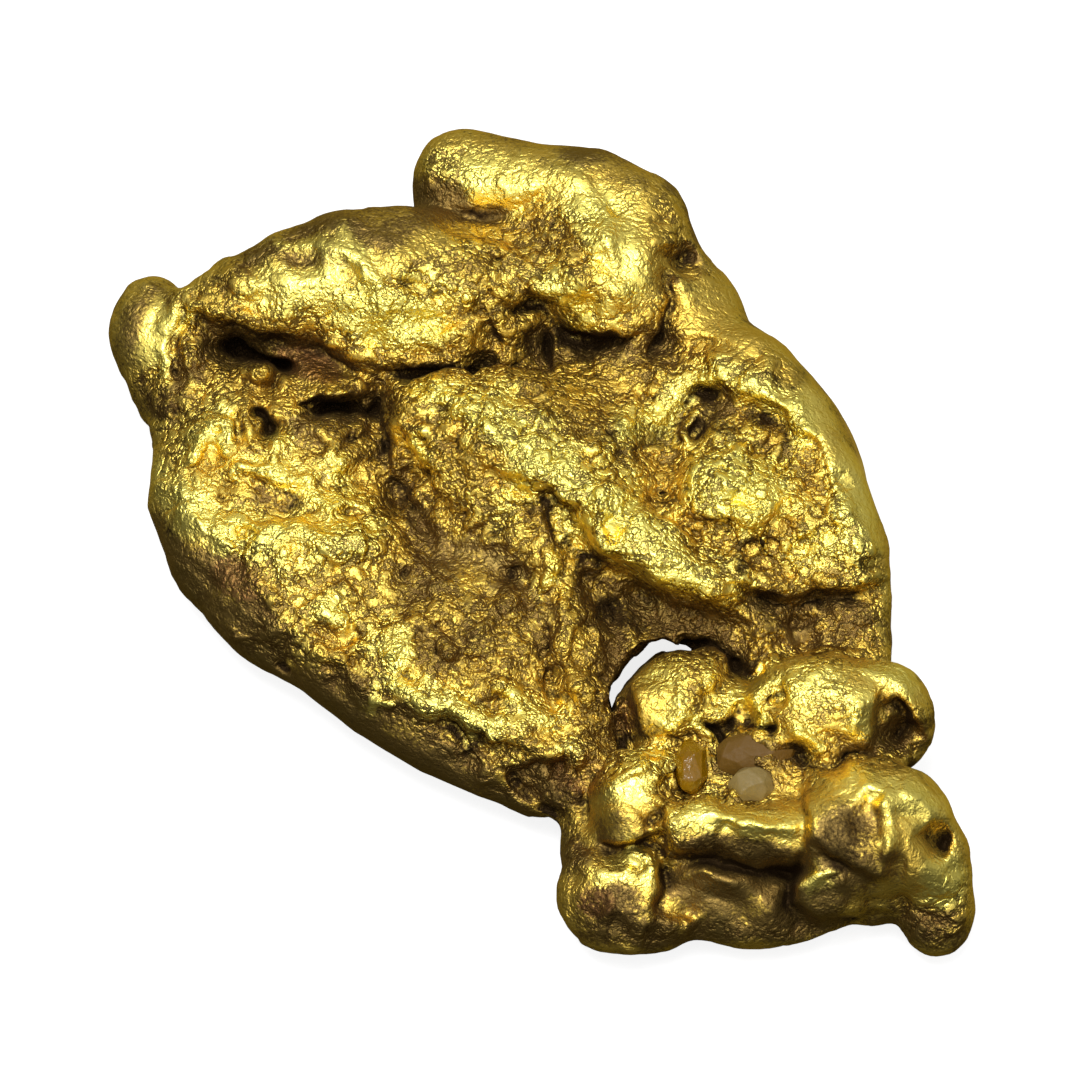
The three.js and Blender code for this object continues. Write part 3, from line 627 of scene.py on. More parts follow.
PATCHES = {
    # Polish patches: wear, and the painted highlight on the brightest crests.
    Finish.POLISH: (
        Patch(1.0, -3.0, 4.4, (1.4, 0.65), -12), Patch(0.4, -2.2, 5.0, (1.2, 0.35), -10),
        Patch(0.5, -4.9, 4.75, (1.2, 0.35), -5), Patch(0.4, -7.7, 4.1, (0.8, 0.3), 80),
        Patch(1.0, -0.3, 1.9, (2.0, 0.5), -40), Patch(0.6, -1.9, 3.0, (0.9, 0.25)),
        Patch(0.9, 2.2, -0.1, (1.8, 0.5), -36), Patch(1.0, 3.9, 1.1, (1.3, 0.75)),
        Patch(0.6, 4.7, 0.7, (0.8, 0.4), 10), Patch(0.7, 4.6, 2.85, (1.3, 0.3), -30),
        Patch(0.7, 6.0, 0.6, (1.2, 0.3), -75), Patch(0.6, 5.4, -0.2, (0.8, 0.5)),
        Patch(0.7, 1.4, 6.0, (1.3, 0.6), -65), Patch(0.4, -1.2, 7.3, (1.2, 0.5), -10),
        Patch(0.6, 0.6, 4.9, (1.0, 0.3), -25), Patch(0.8, -6.6, 0.5, (1.2, 0.3), -45),
        Patch(0.6, -5.0, 0.0, (0.7, 0.35)), Patch(0.6, -5.5, 1.45, (0.9, 0.25), -8),
        Patch(0.7, -1.6, -3.2, (1.4, 0.2), -28), Patch(0.6, 5.2, -2.9, (1.0, 0.5)),
        Patch(0.6, 7.0, -5.0, (1.0, 0.35), -25), Patch(0.8, 3.9, -5.5, (1.4, 0.25), -8),
        Patch(0.6, 2.0, -4.7, (0.9, 0.4), 20), Patch(0.6, 1.9, -6.5, (0.7, 0.35), -10),
        Patch(1.0, 7.95, -6.7, (0.45, 0.6)), Patch(0.5, 2.4, -2.7, (0.5, 0.3)),
        Patch(0.5, -7.4, 1.0, (0.9, 0.3), -60), Patch(0.5, 6.3, 1.0, (1.0, 0.3), -70),
    ),
    # Tarnish patches: brown tarnish, and painted shade on walls that face away from the light.
    Finish.TARNISH: (
        Patch(0.75, -7.8, 4.3, (1.0, 0.7), 70), Patch(1.0, -3.6, 6.2, (3.4, 0.7), 20),
        Patch(0.75, 0.9, 7.6, (2.6, 0.6), -14), Patch(0.5, 3.2, 6.0, (0.5, 1.2), 20),
        Patch(0.5, 5.9, 2.6, (2.4, 0.35), -60), Patch(0.35, 1.6, 3.6, (1.6, 0.5)),
        Patch(0.5, -2.7, 0.9, (0.25, 1.3), 28), Patch(0.5, -7.2, 3.4, (0.6, 0.6)),
        Patch(0.5, 3.6, -7.1, (2.2, 0.6)), Patch(1.0, -6.3, -1.3, (2.4, 0.95), -50),
        Patch(1.0, -2.9, -4.1, (3.8, 0.95), -33), Patch(0.6, -1.3, -1.1, (2.2, 1.4), -35),
        Patch(0.6, 1.2, -1.3, (0.6, 1.6), 5), Patch(1.0, 0.2, -4.8, (0.8, 0.5), -30),
        Patch(0.9, 4.3, -7.0, (2.2, 0.65)), Patch(0.7, 1.4, -7.3, (1.0, 0.6)),
        Patch(0.7, 1.5, -5.7, (0.7, 0.5)), Patch(1.0, 2.5, -1.4, (1.5, 0.45), -25),
        Patch(0.6, 5.2, -1.5, (1.7, 0.6), -5), Patch(0.7, 4.3, -4.3, (0.9, 0.6)),
        Patch(0.7, 6.2, -6.2, (1.3, 0.7)), Patch(0.8, 3.2, 2.5, (0.9, 0.35), 25),
        Patch(0.7, -1.4, 6.55, (1.0, 0.25)), Patch(1.0, 1.35, -7.2, (0.9, 0.75)),
        Patch(1.0, 3.9, -6.05, (1.5, 0.28), -5), Patch(1.0, 6.0, -6.1, (0.9, 1.1), -10),
        Patch(0.7, -7.6, 2.9, (0.6, 0.5)), Patch(0.4, 0.3, 5.9, (0.9, 0.7), -40),
        Patch(1.0, 2.2, -7.75, (1.7, 0.35)), Patch(1.0, 4.7, -7.6, (1.6, 0.35), 3),
        Patch(0.8, 0.65, -6.5, (0.4, 1.1)), Patch(0.8, 7.9, -7.6, (0.7, 0.5)),
        Patch(0.4, -5.2, 0.8, (1.2, 0.3), -8), Patch(0.85, -2.2, -2.1, (0.9, 0.6), -20),
        Patch(0.6, -6.6, 1.6, (0.3, 0.3)), Patch(0.6, -4.2, 2.1, (1.0, 0.5), -20),
    ),
    Finish.CALM: (
        Patch(0.7, -3.0, 6.0, (3.6, 0.75), 20), Patch(0.7, 0.4, 7.4, (2.4, 0.8), -12),
        Patch(0.6, 1.9, 5.6, (0.9, 1.3)), Patch(0.8, 3.6, 4.5, (1.4, 0.8), -35),
        Patch(0.9, 6.0, 1.9, (2.6, 0.5), -65), Patch(0.9, -7.9, 4.2, (1.0, 0.7), 70),
        Patch(0.7, -6.6, -0.6, (1.8, 0.6), -55), Patch(0.8, 4.0, -5.75, (1.6, 0.5), -8),
        Patch(0.7, 1.6, -7.0, (1.2, 0.9)), Patch(0.7, 2.2, -3.1, (0.7, 0.9)),
        Patch(0.6, 6.9, -5.6, (1.5, 1.2)), Patch(0.7, -4.6, 3.5, (0.9, 0.5), -20),
        Patch(0.7, -1.4, -0.5, (0.9, 0.6), -30), Patch(0.3, -5.3, 1.4, (2.4, 1.7), -15),
        Patch(0.8, -3.0, -4.2, (3.6, 0.7), -33), Patch(1.0, 6.3, -5.9, (2.2, 1.7)),
        Patch(1.0, 4.0, -6.9, (2.6, 0.9)), Patch(0.8, 5.6, -3.2, (2.0, 1.0)),
        Patch(0.9, 1.5, -5.5, (0.9, 1.2)),
    ),
    Finish.WILD: (
        Patch(0.2, -3.4, -0.6, (1.8, 1.0), -35), Patch(0.2, -1.0, -2.0, (1.6, 1.2), -30),
        Patch(0.4, 4.4, 0.6, (1.8, 1.6)), Patch(0.5, 0.0, 2.0, (2.4, 1.1), -35),
        Patch(0.7, 1.2, -3.7, (0.5, 1.4), 10), Patch(0.6, 5.2, -3.2, (1.2, 0.8)),
    ),
    # Soot patches: dirt, and painted shade in pits and along low edges.
    Finish.SOOT: (
        Patch(0.1, 1.3, -1.2, (0.5, 1.2), 15), Patch(0.35, 2.7, -1.5, (1.3, 0.35), -20),
        Patch(0.35, 6.0, -1.3, (0.9, 0.35)), Patch(0.8, -7.8, 2.8, (0.8, 0.4), -35),
        Patch(0.4, 0.3, -4.9, (0.7, 0.4), -30), Patch(0.6, -2.3, -4.35, (3.4, 0.45), -30),
        Patch(0.5, -3.8, 6.2, (1.9, 0.4), 18), Patch(0.75, 1.4, -7.25, (0.8, 0.6)),
        Patch(0.85, 6.0, -5.95, (0.7, 0.8), -10), Patch(0.75, 3.9, -6.1, (1.4, 0.25), -5),
        Patch(0.25, 7.2, -3.8, (0.6, 0.7)), Patch(0.4, 4.2, -6.5, (1.6, 0.4)),
        Patch(0.7, 4.9, -7.4, (0.5, 0.4), -20), Patch(0.5, 7.15, -7.1, (0.3, 0.5)),
        Patch(0.6, 7.8, -7.7, (0.6, 0.4)), Patch(0.5, 1.9, -7.6, (0.6, 0.4), 20),
        Patch(0.7, 0.5, -5.3, (0.7, 0.5), -30),
    ),
    Finish.RUST: (
        Patch(0.8, -4.6, 3.5, (0.9, 0.4), -20), Patch(0.6, -6.0, -0.8, (0.8, 0.5), -30),
        Patch(0.7, 1.1, -7.15, (0.5, 0.4)), Patch(0.7, 1.7, -3.5, (0.3, 0.5)),
        Patch(0.6, 0.8, -4.6, (0.8, 0.6), -20),
    ),
}


def spiral(count: int) -> list[np.ndarray]:
    """Spreads directions evenly over a sphere, along a spiral down from its top.

    Args:
        count: How many directions.

    Returns:
        The directions, each of length 1.
    """
    ways = []
    for i in range(count):
        height = 1 - (2 * i + 1) / count
        flat, turn = math.sqrt(1 - height * height), math.pi * (3 - math.sqrt(5)) * i
        ways.append(np.array([flat * math.cos(turn), flat * math.sin(turn), height]))
    return ways


def melt(a: np.ndarray, b: np.ndarray, blend: float) -> np.ndarray:
    """Joins two distances so that their shapes melt into each other.

    Args:
        a: First distances.
        b: Second distances.
        blend: How far the shapes melt into each other.

    Returns:
        The joint distances.
    """
    share = np.clip(0.5 + 0.5 * (b - a) / blend, 0, 1)
    return b + (a - b) * share - blend * share * (1 - share)


def ease(value: np.ndarray, low: float, high: float) -> np.ndarray:
    """Rises smoothly from 0 at low to 1 at high.

    Args:
        value: Where to read the rise.
        low: Where the rise starts.
        high: Where it ends, which may be less than low.

    Returns:
        The rise at each value.
    """
    share = np.clip((value - low) / (high - low), 0, 1)
    return share * share * (3 - 2 * share)


def spline_weights(places: np.ndarray, spacing: float) -> np.ndarray:
    """Works out how evenly spaced knots of a smooth curve weigh at places along a line.

    Args:
        places: Evenly rising places.
        spacing: Distance between knots.

    Returns:
        A row of knot weights for each place.
    """
    steps = (places - places[0]) / spacing
    base = np.floor(steps).astype(int)
    part = steps - base
    rows = np.arange(len(places))
    weights = np.zeros((len(places), base.max() + 4), np.float32)
    weights[rows, base] = (1 - part) ** 3 / 6
    weights[rows, base + 1] = (3 * part**3 - 6 * part**2 + 4) / 6
    weights[rows, base + 2] = (-3 * part**3 + 3 * part**2 + 3 * part + 1) / 6
    weights[rows, base + 3] = part**3 / 6
    return weights


def smooth_noise(axes: Sequence[np.ndarray], spacing: float, seed: int) -> np.ndarray:
    """Fills a grid with seeded noise that varies smoothly, about 1 strong.

    Args:
        axes: The grid's places along each of its axes.
        spacing: How far apart the noise changes.
        seed: Start of the random draws.

    Returns:
        The noise at every node of the grid.
    """
    weights = [spline_weights(axis, spacing) for axis in axes]
    noise = np.random.default_rng(seed).standard_normal([w.shape[1] for w in weights]).astype(np.float32)
    for weight in weights:
        noise = np.moveaxis(np.tensordot(weight, noise, axes=(1, 0)), 0, -1)
    return noise * 1.44 ** len(axes)


def cloud(points: np.ndarray, size: float, seed: int, count: int = 3, reach: float = 11.0) -> np.ndarray:
    """Reads seeded noise that varies smoothly, from -1 to 1.

    Args:
        points: X, Y and Z of each place.
        size: How far apart the noise changes.
        seed: Start of the random draws.
        count: How many numbers there are for each place.
        reach: How far from the origin the noise goes.

    Returns:
        The numbers, in a row for each place.
    """
    low = -math.ceil(reach / size)
    knots = np.random.default_rng(seed).uniform(-1, 1, (*3 * [2 - 2 * low], count))
    steps = np.clip(points / size - low, 0, 1 - 2 * low)
    base = np.floor(steps).astype(int)
    part = ease(steps - base, 0, 1)
    total = np.zeros((len(points), count))
    for corner in np.ndindex(2, 2, 2):
        share = np.prod(np.where(corner, part, 1 - part), axis=1)
        total += share[:, None] * knots[tuple((base + np.array(corner)).T)]
    return total


@dataclass
class Chart:
    """The skin as it shows across the line of sight: its relief, its finish, and its dirt and painted shade.

    Attributes:
        right: Rights of the grid's columns.
        up: Ups of the grid's rows.
        flakes: How many small flakes are scattered.
        taper: Share of a stroke's length over which each end runs out.
        swayed: Rights and ups of the nodes, pushed about a little so that no stroke runs straight.
        breadth: How much wider or narrower strokes are at each node.
        pressure: How much stronger or weaker strokes are at each node.
        relief: How far the skin stands out at each node.
        marks: How strongly each finish shows at each node.
        inner: How far inside the outline each node is, from 0 to 1.
    """

    right: np.ndarray
    up: np.ndarray
    flakes: int = 2600
    taper: float = 0.18
    swayed: tuple[np.ndarray, np.ndarray] = field(init=False)
    breadth: np.ndarray = field(init=False)
    pressure: np.ndarray = field(init=False)
    relief: np.ndarray = field(init=False)
    marks: dict[Finish, np.ndarray] = field(init=False)
    inner: np.ndarray = field(init=False)

    def __post_init__(self) -> None:
        """Starts with no relief and no marks, then draws everything."""
        size = (len(self.right), len(self.up))
        axes = (self.right, self.up)
        sway = [
            0.05 * smooth_noise(axes, 0.42, seed) + 0.03 * smooth_noise(axes, 0.17, seed + 1)
            for seed in (21, 23)
        ]
        self.swayed = (self.right[:, None] + sway[0], self.up[None, :] + sway[1])
        self.breadth = np.clip(1 + 0.3 * smooth_noise(axes, 0.3, 25), 0.4, 1.8)
        self.pressure = np.clip(0.95 + 0.25 * smooth_noise(axes, 0.36, 27), 0.45, 1.4)
        self.relief = np.zeros(size, np.float32)
        self.marks = {finish: np.zeros(size, np.float32) for finish in Finish}
        self.inner = np.ones(size, np.float32)
        for finish, patches in PATCHES.items():
            for patch in patches:
                self.lay(finish, patch)
        for stroke in STROKES:
            self.draw(stroke)
        self.scatter_flakes()
        self.blunt()

    def blunt(self, tallest: float = 0.4) -> None:
        """Blunts the relief, so that nothing stands out as a thin horn.

        Args:
            tallest: How far the skin may stand out, in millimetres.
        """
        for axis in range(2):
            before, after = np.roll(self.relief, 1, axis), np.roll(self.relief, -1, axis)
            self.relief = (before + 4 * self.relief + after) / 6
        raised = np.maximum(self.relief, 0)
        self.relief += tallest * np.tanh(raised / tallest) - raised

    def hush_outline(self, front: np.ndarray, width: float = 0.4) -> None:
        """Calms the skin near the nugget's outline and darkens a band along the outline with the brown film
        colour.

        Args:
            front: The height at which each line of sight meets the skin, less than zero past the outline.
            width: How far in from the outline.
        """
        steps = round(width / float(self.right[1] - self.right[0]))
        full = (front > 0).astype(np.float32)
        for axis in range(2):
            full = sum(np.roll(full, step, axis) for step in range(-steps, steps + 1)) / (2 * steps + 1)
        self.inner = ease(full, 0.5, 0.95)
        self.marks[Finish.TARNISH] = np.maximum(self.marks[Finish.TARNISH], 0.3 * (1 - self.inner))

    def coarseness(self) -> np.ndarray:
        """Works out how coarse the skin is.

        Returns:
            The coarseness of each node, from 0 to 1.2.
        """
        calm, wild, bright = (self.marks[finish] for finish in (Finish.CALM, Finish.WILD, Finish.POLISH))
        coarse = np.clip(0.65 + 0.5 * wild - 0.55 * calm - 0.1 * bright, 0.1, 1.2)
        return coarse * (0.3 + 0.7 * self.inner)

    def window(self, route: Sequence[Spot], reach: float) -> tuple[slice, slice]:
        """Finds the part of the grid within reach of a route.

        Args:
            route: Right and up of places.
            reach: How far round them.

        Returns:
            The columns and rows.
        """
        spans = []
        for axis, places in enumerate((self.right, self.up)):
            low = min(spot[axis] for spot in route) - reach
            high = max(spot[axis] for spot in route) + reach
            spans.append(slice(*np.searchsorted(places, (low, high))))
        return spans[0], spans[1]

    def lay(self, finish: Finish, patch: Patch) -> None:
        """Lays a patch on a finish's marks, with a soft edge.

        Args:
            finish: What the patch is like.
            patch: The patch.
        """
        cos, sin = math.cos(math.radians(patch.turn)), math.sin(math.radians(patch.turn))
        area = self.window([(patch.right, patch.up)], 1.5 * max(patch.sizes))
        dr = self.right[area[0], None] - patch.right
        du = self.up[None, area[1]] - patch.up
        off = np.hypot((dr * cos + du * sin) / patch.sizes[0], (du * cos - dr * sin) / patch.sizes[1])
        marks = self.marks[finish]
        marks[area] = np.maximum(marks[area], patch.amount * ease(off, 1.25, 0.55))

    def across(self, route: Sequence[Spot], area: tuple[slice, slice]) -> tuple[np.ndarray, np.ndarray]:
        """Measures a window of the grid from a route.

        Args:
            route: Right and up of places.
            area: The window.

        Returns:
            Distances off the route, above zero to its left, and how full the route is there, from 0 at
            its ends to 1.
        """
        right, up = (places[area] for places in self.swayed)
        if len(route) == 1:
            return np.hypot(right - route[0][0], up - route[0][1]), np.ones_like(right)
        lengths = [math.dist(a, b) for a, b in zip(route, route[1:])]
        total, done = sum(lengths), 0.0
        nearest = side = fullness = None
        for (r0, u0), (r1, u1), length in zip(route, route[1:], lengths):
            dr, du = (r1 - r0) / length, (u1 - u0) / length
            along = np.clip((right - r0) * dr + (up - u0) * du, 0, length)
            off = np.hypot(right - r0 - along * dr, up - u0 - along * du)
            left = np.sign(dr * (up - u0) - du * (right - r0))
            share = (done + along) / total
            if nearest is None:
                nearest, side, fullness = off, left, share
            else:
                closer = off < nearest
                nearest = np.where(closer, off, nearest)
                side = np.where(closer, left, side)
                fullness = np.where(closer, share, fullness)
            done += length
        ends = np.minimum(fullness, 1 - fullness) / self.taper
        return nearest * side, np.sqrt(np.clip(ends + 0.08, 0, 1))

    def draw(self, stroke: Stroke) -> None:
        """Draws a stroke into the relief and marks what it wears bright, with a painted highlight, and what
        it darkens with dirt and painted shade.

        Args:
            stroke: The stroke.
        """
        height, width = stroke.height * STRENGTHS[stroke.form], stroke.width
        reach = 0.3 + width * {Form.LIP: 12, Form.GROOVE: 8}.get(stroke.form, 3)
        area = self.window(stroke.route, reach)
        off, full = self.across(stroke.route, area)
        near = off / (1.25 * width * self.breadth[area])
        full = full * self.pressure[area]
        if stroke.form in (Form.CREST, Form.RIDGE):
            self.relief[area] += height * full * np.exp(-near * near)
        elif stroke.form is Form.BEAD:
            self.relief[area] += height * np.sqrt(np.maximum(full * full - near * near, 0))
        elif stroke.form is Form.GROOVE:
            self.relief[area] -= height * full * np.exp(-np.abs(near))
        elif stroke.form is Form.HOLE:
            self.relief[area] -= 0.8 * height * full * np.exp(-np.abs(near) ** 1.7)
        else:
            high = 0.5 + 0.5 * np.tanh(off / (0.4 * width))
            rise = 0.5 * high * np.exp(-np.abs(near) / 4) - 0.5 * (1 - high) * np.exp(-np.abs(near) / 2.8)
            self.relief[area] += height * full * rise
        self.wear(stroke, area, off, near, full)

    def wear(
        self, stroke: Stroke, area: tuple[slice, slice], off: np.ndarray, near: np.ndarray, full: np.ndarray
    ) -> None:
        """Marks what a stroke wears bright, with a painted highlight, and what it darkens with dirt and
        painted shade.

        Args:
            stroke: The stroke.
            area: The window of the grid round it.
            off: Distances off its route.
            near: The same in half widths of the stroke.
            full: How full the stroke is.
        """
        height = stroke.height * STRENGTHS[stroke.form]
        if stroke.form is Form.CREST:
            # A crest is worn bright, which also lays the painted highlight.
            bright = self.marks[Finish.POLISH]
            bright[area] = np.maximum(bright[area], full * np.exp(-(near / 1.5) ** 2))
            # Dirt and painted shade in a ring at the crest's feet.
            ring = 0.75 if len(stroke.route) > 1 else 0.0
            dirt_and_shade = ring * full * np.exp(-((np.abs(near) - 2.1) / 0.6) ** 2)
        elif stroke.form in (Form.GROOVE, Form.HOLE):
            # Dirt and painted shade down a groove or hole.
            depth = min(0.9, (0.4 + 1.3 * height) * min(1.0, 0.1 / stroke.width))
            dirt_and_shade = depth * full * np.exp(-(near / 0.9) ** 2)
        elif stroke.form is Form.LIP:
            # Painted shade, with dirt, on the low side just under the step.
            dirt_and_shade = min(0.9, 0.3 + 0.7 * height) * full * np.exp(-np.abs(near)) * (off < 0.04)
        else:
            return
        soot = self.marks[Finish.SOOT]
        soot[area] = np.maximum(soot[area], dirt_and_shade)

    def scatter_flakes(self, seed: int = 7) -> None:
        """Scatters small beads and flakes over the skin, more of them where it is wild.

        Args:
            seed: Start of the random draws.
        """
        rng = np.random.default_rng(seed)
        wild, calm = self.marks[Finish.WILD], self.marks[Finish.CALM]
        for _ in range(self.flakes):
            right = rng.uniform(self.right[0], self.right[-1])
            up = rng.uniform(self.up[0], self.up[-1])
            turn, length = rng.uniform(0, math.pi), rng.uniform(0.05, 0.35)
            height, width = rng.uniform(0.03, 0.1), rng.uniform(0.06, 0.14)
            form = (Form.BEAD, Form.LIP, Form.GROOVE, Form.BEAD)[rng.integers(4)]
            keep = rng.uniform()
            i, j = np.searchsorted(self.right, right), np.searchsorted(self.up, up)
            strength = float(np.clip(0.35 + 0.9 * wild[i - 1, j - 1] - 0.5 * calm[i - 1, j - 1], 0, 1.2))
            if keep > strength:
                continue
            dr, du = 0.5 * length * math.cos(turn), 0.5 * length * math.sin(turn)
            route = ((right - dr, up - du), (right + dr, up + du))
            self.draw(Stroke(form, height * (0.5 + strength), width, route))

    def read(self, grid: np.ndarray, right: np.ndarray, up: np.ndarray) -> np.ndarray:
        """Reads a grid at places between its nodes.

        Args:
            grid: Values on the chart.
            right: The places' rights.
            up: The places' ups.

        Returns:
            The values there.
        """
        cell = self.right[1] - self.right[0]
        i = np.clip((right - self.right[0]) / cell, 0, len(self.right) - 1.001)
        j = np.clip((up - self.up[0]) / cell, 0, len(self.up) - 1.001)
        i0, j0 = i.astype(int), j.astype(int)
        a, b = i - i0, j - j0
        low = grid[i0, j0] * (1 - a) + grid[i0 + 1, j0] * a
        return low * (1 - b) + (grid[i0, j0 + 1] * (1 - a) + grid[i0 + 1, j0 + 1] * a) * b


@dataclass
class SightLattice:
    """Distances to the skin, on a lattice whose columns run along the line of sight.

    Attributes:
        cell: Spacing of the nodes.
        reach: Distance that stands for anywhere far outside.
        lobe_blend: How far neighbouring lobes melt into each other.
        fold_blend: The same where a fold is pressed in.
        right_span: Rights of the first and the last column.
        up_span: Ups of the first and the last row.
        top: Height of the highest layer.
        layers_below: How many layers lie under the table.
        right: Rights of the nodes.
        up: Ups of the nodes.
        height: Heights of the nodes.
        values: Distance from each node to the skin, less than zero inside.
    """

    cell: float
    reach: float = 1.0
    lobe_blend: float = 0.45
    fold_blend: float = 0.3
    right_span: Spot = (-8.95, 8.95)
    up_span: Spot = (-8.55, 8.75)
    top: float = 5.3
    layers_below: int = 4
    right: np.ndarray = field(init=False)
    up: np.ndarray = field(init=False)
    height: np.ndarray = field(init=False)
    values: np.ndarray = field(init=False)

    def __post_init__(self) -> None:
        """Lays out the nodes, all of them far outside."""
        self.right = np.arange(*self.right_span, self.cell).astype(np.float32)
        self.up = np.arange(*self.up_span, self.cell).astype(np.float32)
        self.height = (np.arange(-self.layers_below, self.top / self.cell) * self.cell).astype(np.float32)
        size = (len(self.right), len(self.up), len(self.height))
        self.values = np.full(size, self.reach, np.float32)

    def window(self, low: np.ndarray, high: np.ndarray) -> tuple[tuple[slice, ...], tuple[np.ndarray, ...]]:
        """Finds the nodes within reach of a box.

        Args:
            low: The box's lowest corner.
            high: The box's highest corner.

        Returns:
            The nodes, and their X, Y and Z in shapes that spread over them.
        """
        low, high = low - self.reach, high + self.reach
        low[2], high[2] = max(low[2], self.height[0]), min(high[2], self.height[-1])
        mix = np.array([0, SIGHT.sine, SIGHT.cosine])
        spans = (
            (self.right, low[0] + SIGHT.middle[0], high[0] + SIGHT.middle[0]),
            (self.up, low @ mix + SIGHT.middle[1], high @ mix + SIGHT.middle[1]),
            (self.height, low[2], high[2] + self.cell),
        )
        nodes = tuple(slice(*np.searchsorted(places, (a, b))) for places, a, b in spans)
        up, height = self.up[nodes[1]][None, :, None], self.height[nodes[2]][None, None, :]
        along = (up - SIGHT.middle[1] - height * SIGHT.cosine) / SIGHT.sine
        return nodes, (self.right[nodes[0]][:, None, None] - SIGHT.middle[0], along, height)

    def add(self, shape: Lobe | Roll) -> None:
        """Melts a shape into the mass.

        Args:
            shape: The shape.
        """
        nodes, places = self.window(*shape.span())
        self.values[nodes] = melt(self.values[nodes], shape.distance(*places), self.lobe_blend)

    def press(self, shape: Lobe | Roll, blend: float) -> None:
        """Presses a shape into the mass.

        Args:
            shape: The shape.
            blend: How rounded its edge is.
        """
        nodes, places = self.window(*shape.span())
        self.values[nodes] = -melt(-self.values[nodes], shape.distance(*places), blend)

    def front(self) -> np.ndarray:
        """Finds where each line of sight meets the skin.

        Returns:
            The height there, or less than zero where it passes the mass by.
        """
        inside = self.values < 0
        layers = len(self.height)
        highest = layers - 1 - np.argmax(inside[:, :, ::-1], axis=2)
        return np.where(inside.any(axis=2), self.height[highest], -1).astype(np.float32)

    def raise_by(self, relief: np.ndarray, front: np.ndarray) -> None:
        """Moves the front of the skin along the line of sight.

        Args:
            relief: How far it moves toward the eye, for each line of sight.
            front: The height at which each line of sight meets the skin.
        """
        shift = relief[:, :, None] * SIGHT.sine
        below = (front + np.maximum(relief, 0))[:, :, None] - self.height[None, None, :]
        share = ease(below, 2.3, 0.9)
        layers = np.arange(len(self.height))
        steps = np.clip(layers - shift * share / self.cell, 0, len(self.height) - 1.001)
        base = steps.astype(np.int32)
        part = (steps - base).astype(np.float32)
        low = np.take_along_axis(self.values, base, axis=2)
        high = np.take_along_axis(self.values, base + 1, axis=2)
        self.values = low + (high - low) * part

    def carve_slit(self, blend: float = 0.12) -> None:
        """Opens the slit along the line of sight.

        Args:
            blend: How rounded its edges are.
        """
        nearest = None
        right, up = self.right[:, None], self.up[None, :]
        for (r0, u0, w0), (r1, u1, w1) in zip(SLIT, SLIT[1:]):
            dr, du = r1 - r0, u1 - u0
            along = np.clip(((right - r0) * dr + (up - u0) * du) / (dr * dr + du * du), 0, 1)
            off = np.hypot(right - r0 - along * dr, up - u0 - along * du) - (w0 + (w1 - w0) * along)
            nearest = off if nearest is None else np.minimum(nearest, off)
        near = self.window(SIGHT.place(0.4, -4.4, 2.0), SIGHT.place(4.0, -1.2, 2.0))[0][:2]
        wall = nearest[near].astype(np.float32)[:, :, None]
        self.values[near] = -melt(-self.values[near], wall, blend)

    def rough_up(self, amount: np.ndarray, octaves: Sequence[tuple[float, float, int]]) -> None:
        """Covers the skin with rounded grains that have creases between them.

        Args:
            amount: Strength for each node, or one that spreads over them.
            octaves: Spacing, height and seed of each size of grain.
        """
        grains = np.zeros_like(self.values)
        for spacing, height, seed in octaves:
            grains += height * (np.abs(smooth_noise(self.axes, spacing, seed)) - 0.6)
        near_skin = ease(np.abs(self.values), 0.5, 0.2)
        self.values -= grains * amount * near_skin

    @property
    def axes(self) -> tuple[np.ndarray, np.ndarray, np.ndarray]:
        """The lattice's rights, ups and heights."""
        return self.right, self.up, self.height

    def flatten(self) -> None:
        """Cuts the mass off at the table."""
        self.values = np.maximum(self.values, -self.height[None, None, :])

    def skin(self) -> tuple[np.ndarray, np.ndarray]:
        """Lays a skin of four-sided faces where the distance passes zero.

        Returns:
            The skin's points, as steps along the lattice, and its faces.
        """
        inside = self.values < 0
        size = self.values.shape
        strides = np.array([size[1] * size[2], size[2], 1])
        rings, places = [], []
        for axis in range(3):
            near = tuple(slice(None, -1) if a == axis else slice(None) for a in range(3))
            far = tuple(slice(1, None) if a == axis else slice(None) for a in range(3))
            nodes = np.argwhere(inside[near] != inside[far])
            after = nodes.copy()
            after[:, axis] += 1
            start, stop = self.values[tuple(nodes.T)], self.values[tuple(after.T)]
            place = nodes.astype(np.float64)
            place[:, axis] += start / (start - stop)
            node = nodes @ strides
            across, upward = strides[(axis + 1) % 3], strides[(axis + 2) % 3]
            ring = np.stack([node - across - upward, node - upward, node, node - across], axis=1)
            ring[start >= 0] = ring[start >= 0][:, ::-1]
            rings.append(ring)
            places.append(place)
        cells, faces = np.unique(np.concatenate(rings), return_inverse=True)
        faces = faces.reshape(-1, 4)
        places = np.repeat(np.concatenate(places), 4, axis=0)
        count = np.bincount(faces.ravel(), minlength=len(cells))
        points = np.stack([np.bincount(faces.ravel(), places[:, a]) / count for a in range(3)], axis=1)
        return points, faces

    def to_world(self, steps: np.ndarray) -> np.ndarray:
        """Turns steps along the lattice into places.

        Args:
            steps: Steps along the lattice, in a row for each place.

        Returns:
            X, Y and Z of each place in millimetres.
        """
        low = np.array([self.right[0], self.up[0], self.height[0]])
        right, up, height = (low + steps * self.cell).T
        return SIGHT.place(right, up, height).T

    def to_steps(self, points: np.ndarray) -> np.ndarray:
        """Turns places into steps along the lattice.

        Args:
            points: X, Y and Z of each place in millimetres.

        Returns:
            Steps along the lattice, in a row for each place.
        """
        up = points[:, 1] * SIGHT.sine + points[:, 2] * SIGHT.cosine + SIGHT.middle[1]
        seen = np.stack([points[:, 0] + SIGHT.middle[0], up, points[:, 2]], axis=1)
        return (seen - np.array([self.right[0], self.up[0], self.height[0]])) / self.cell

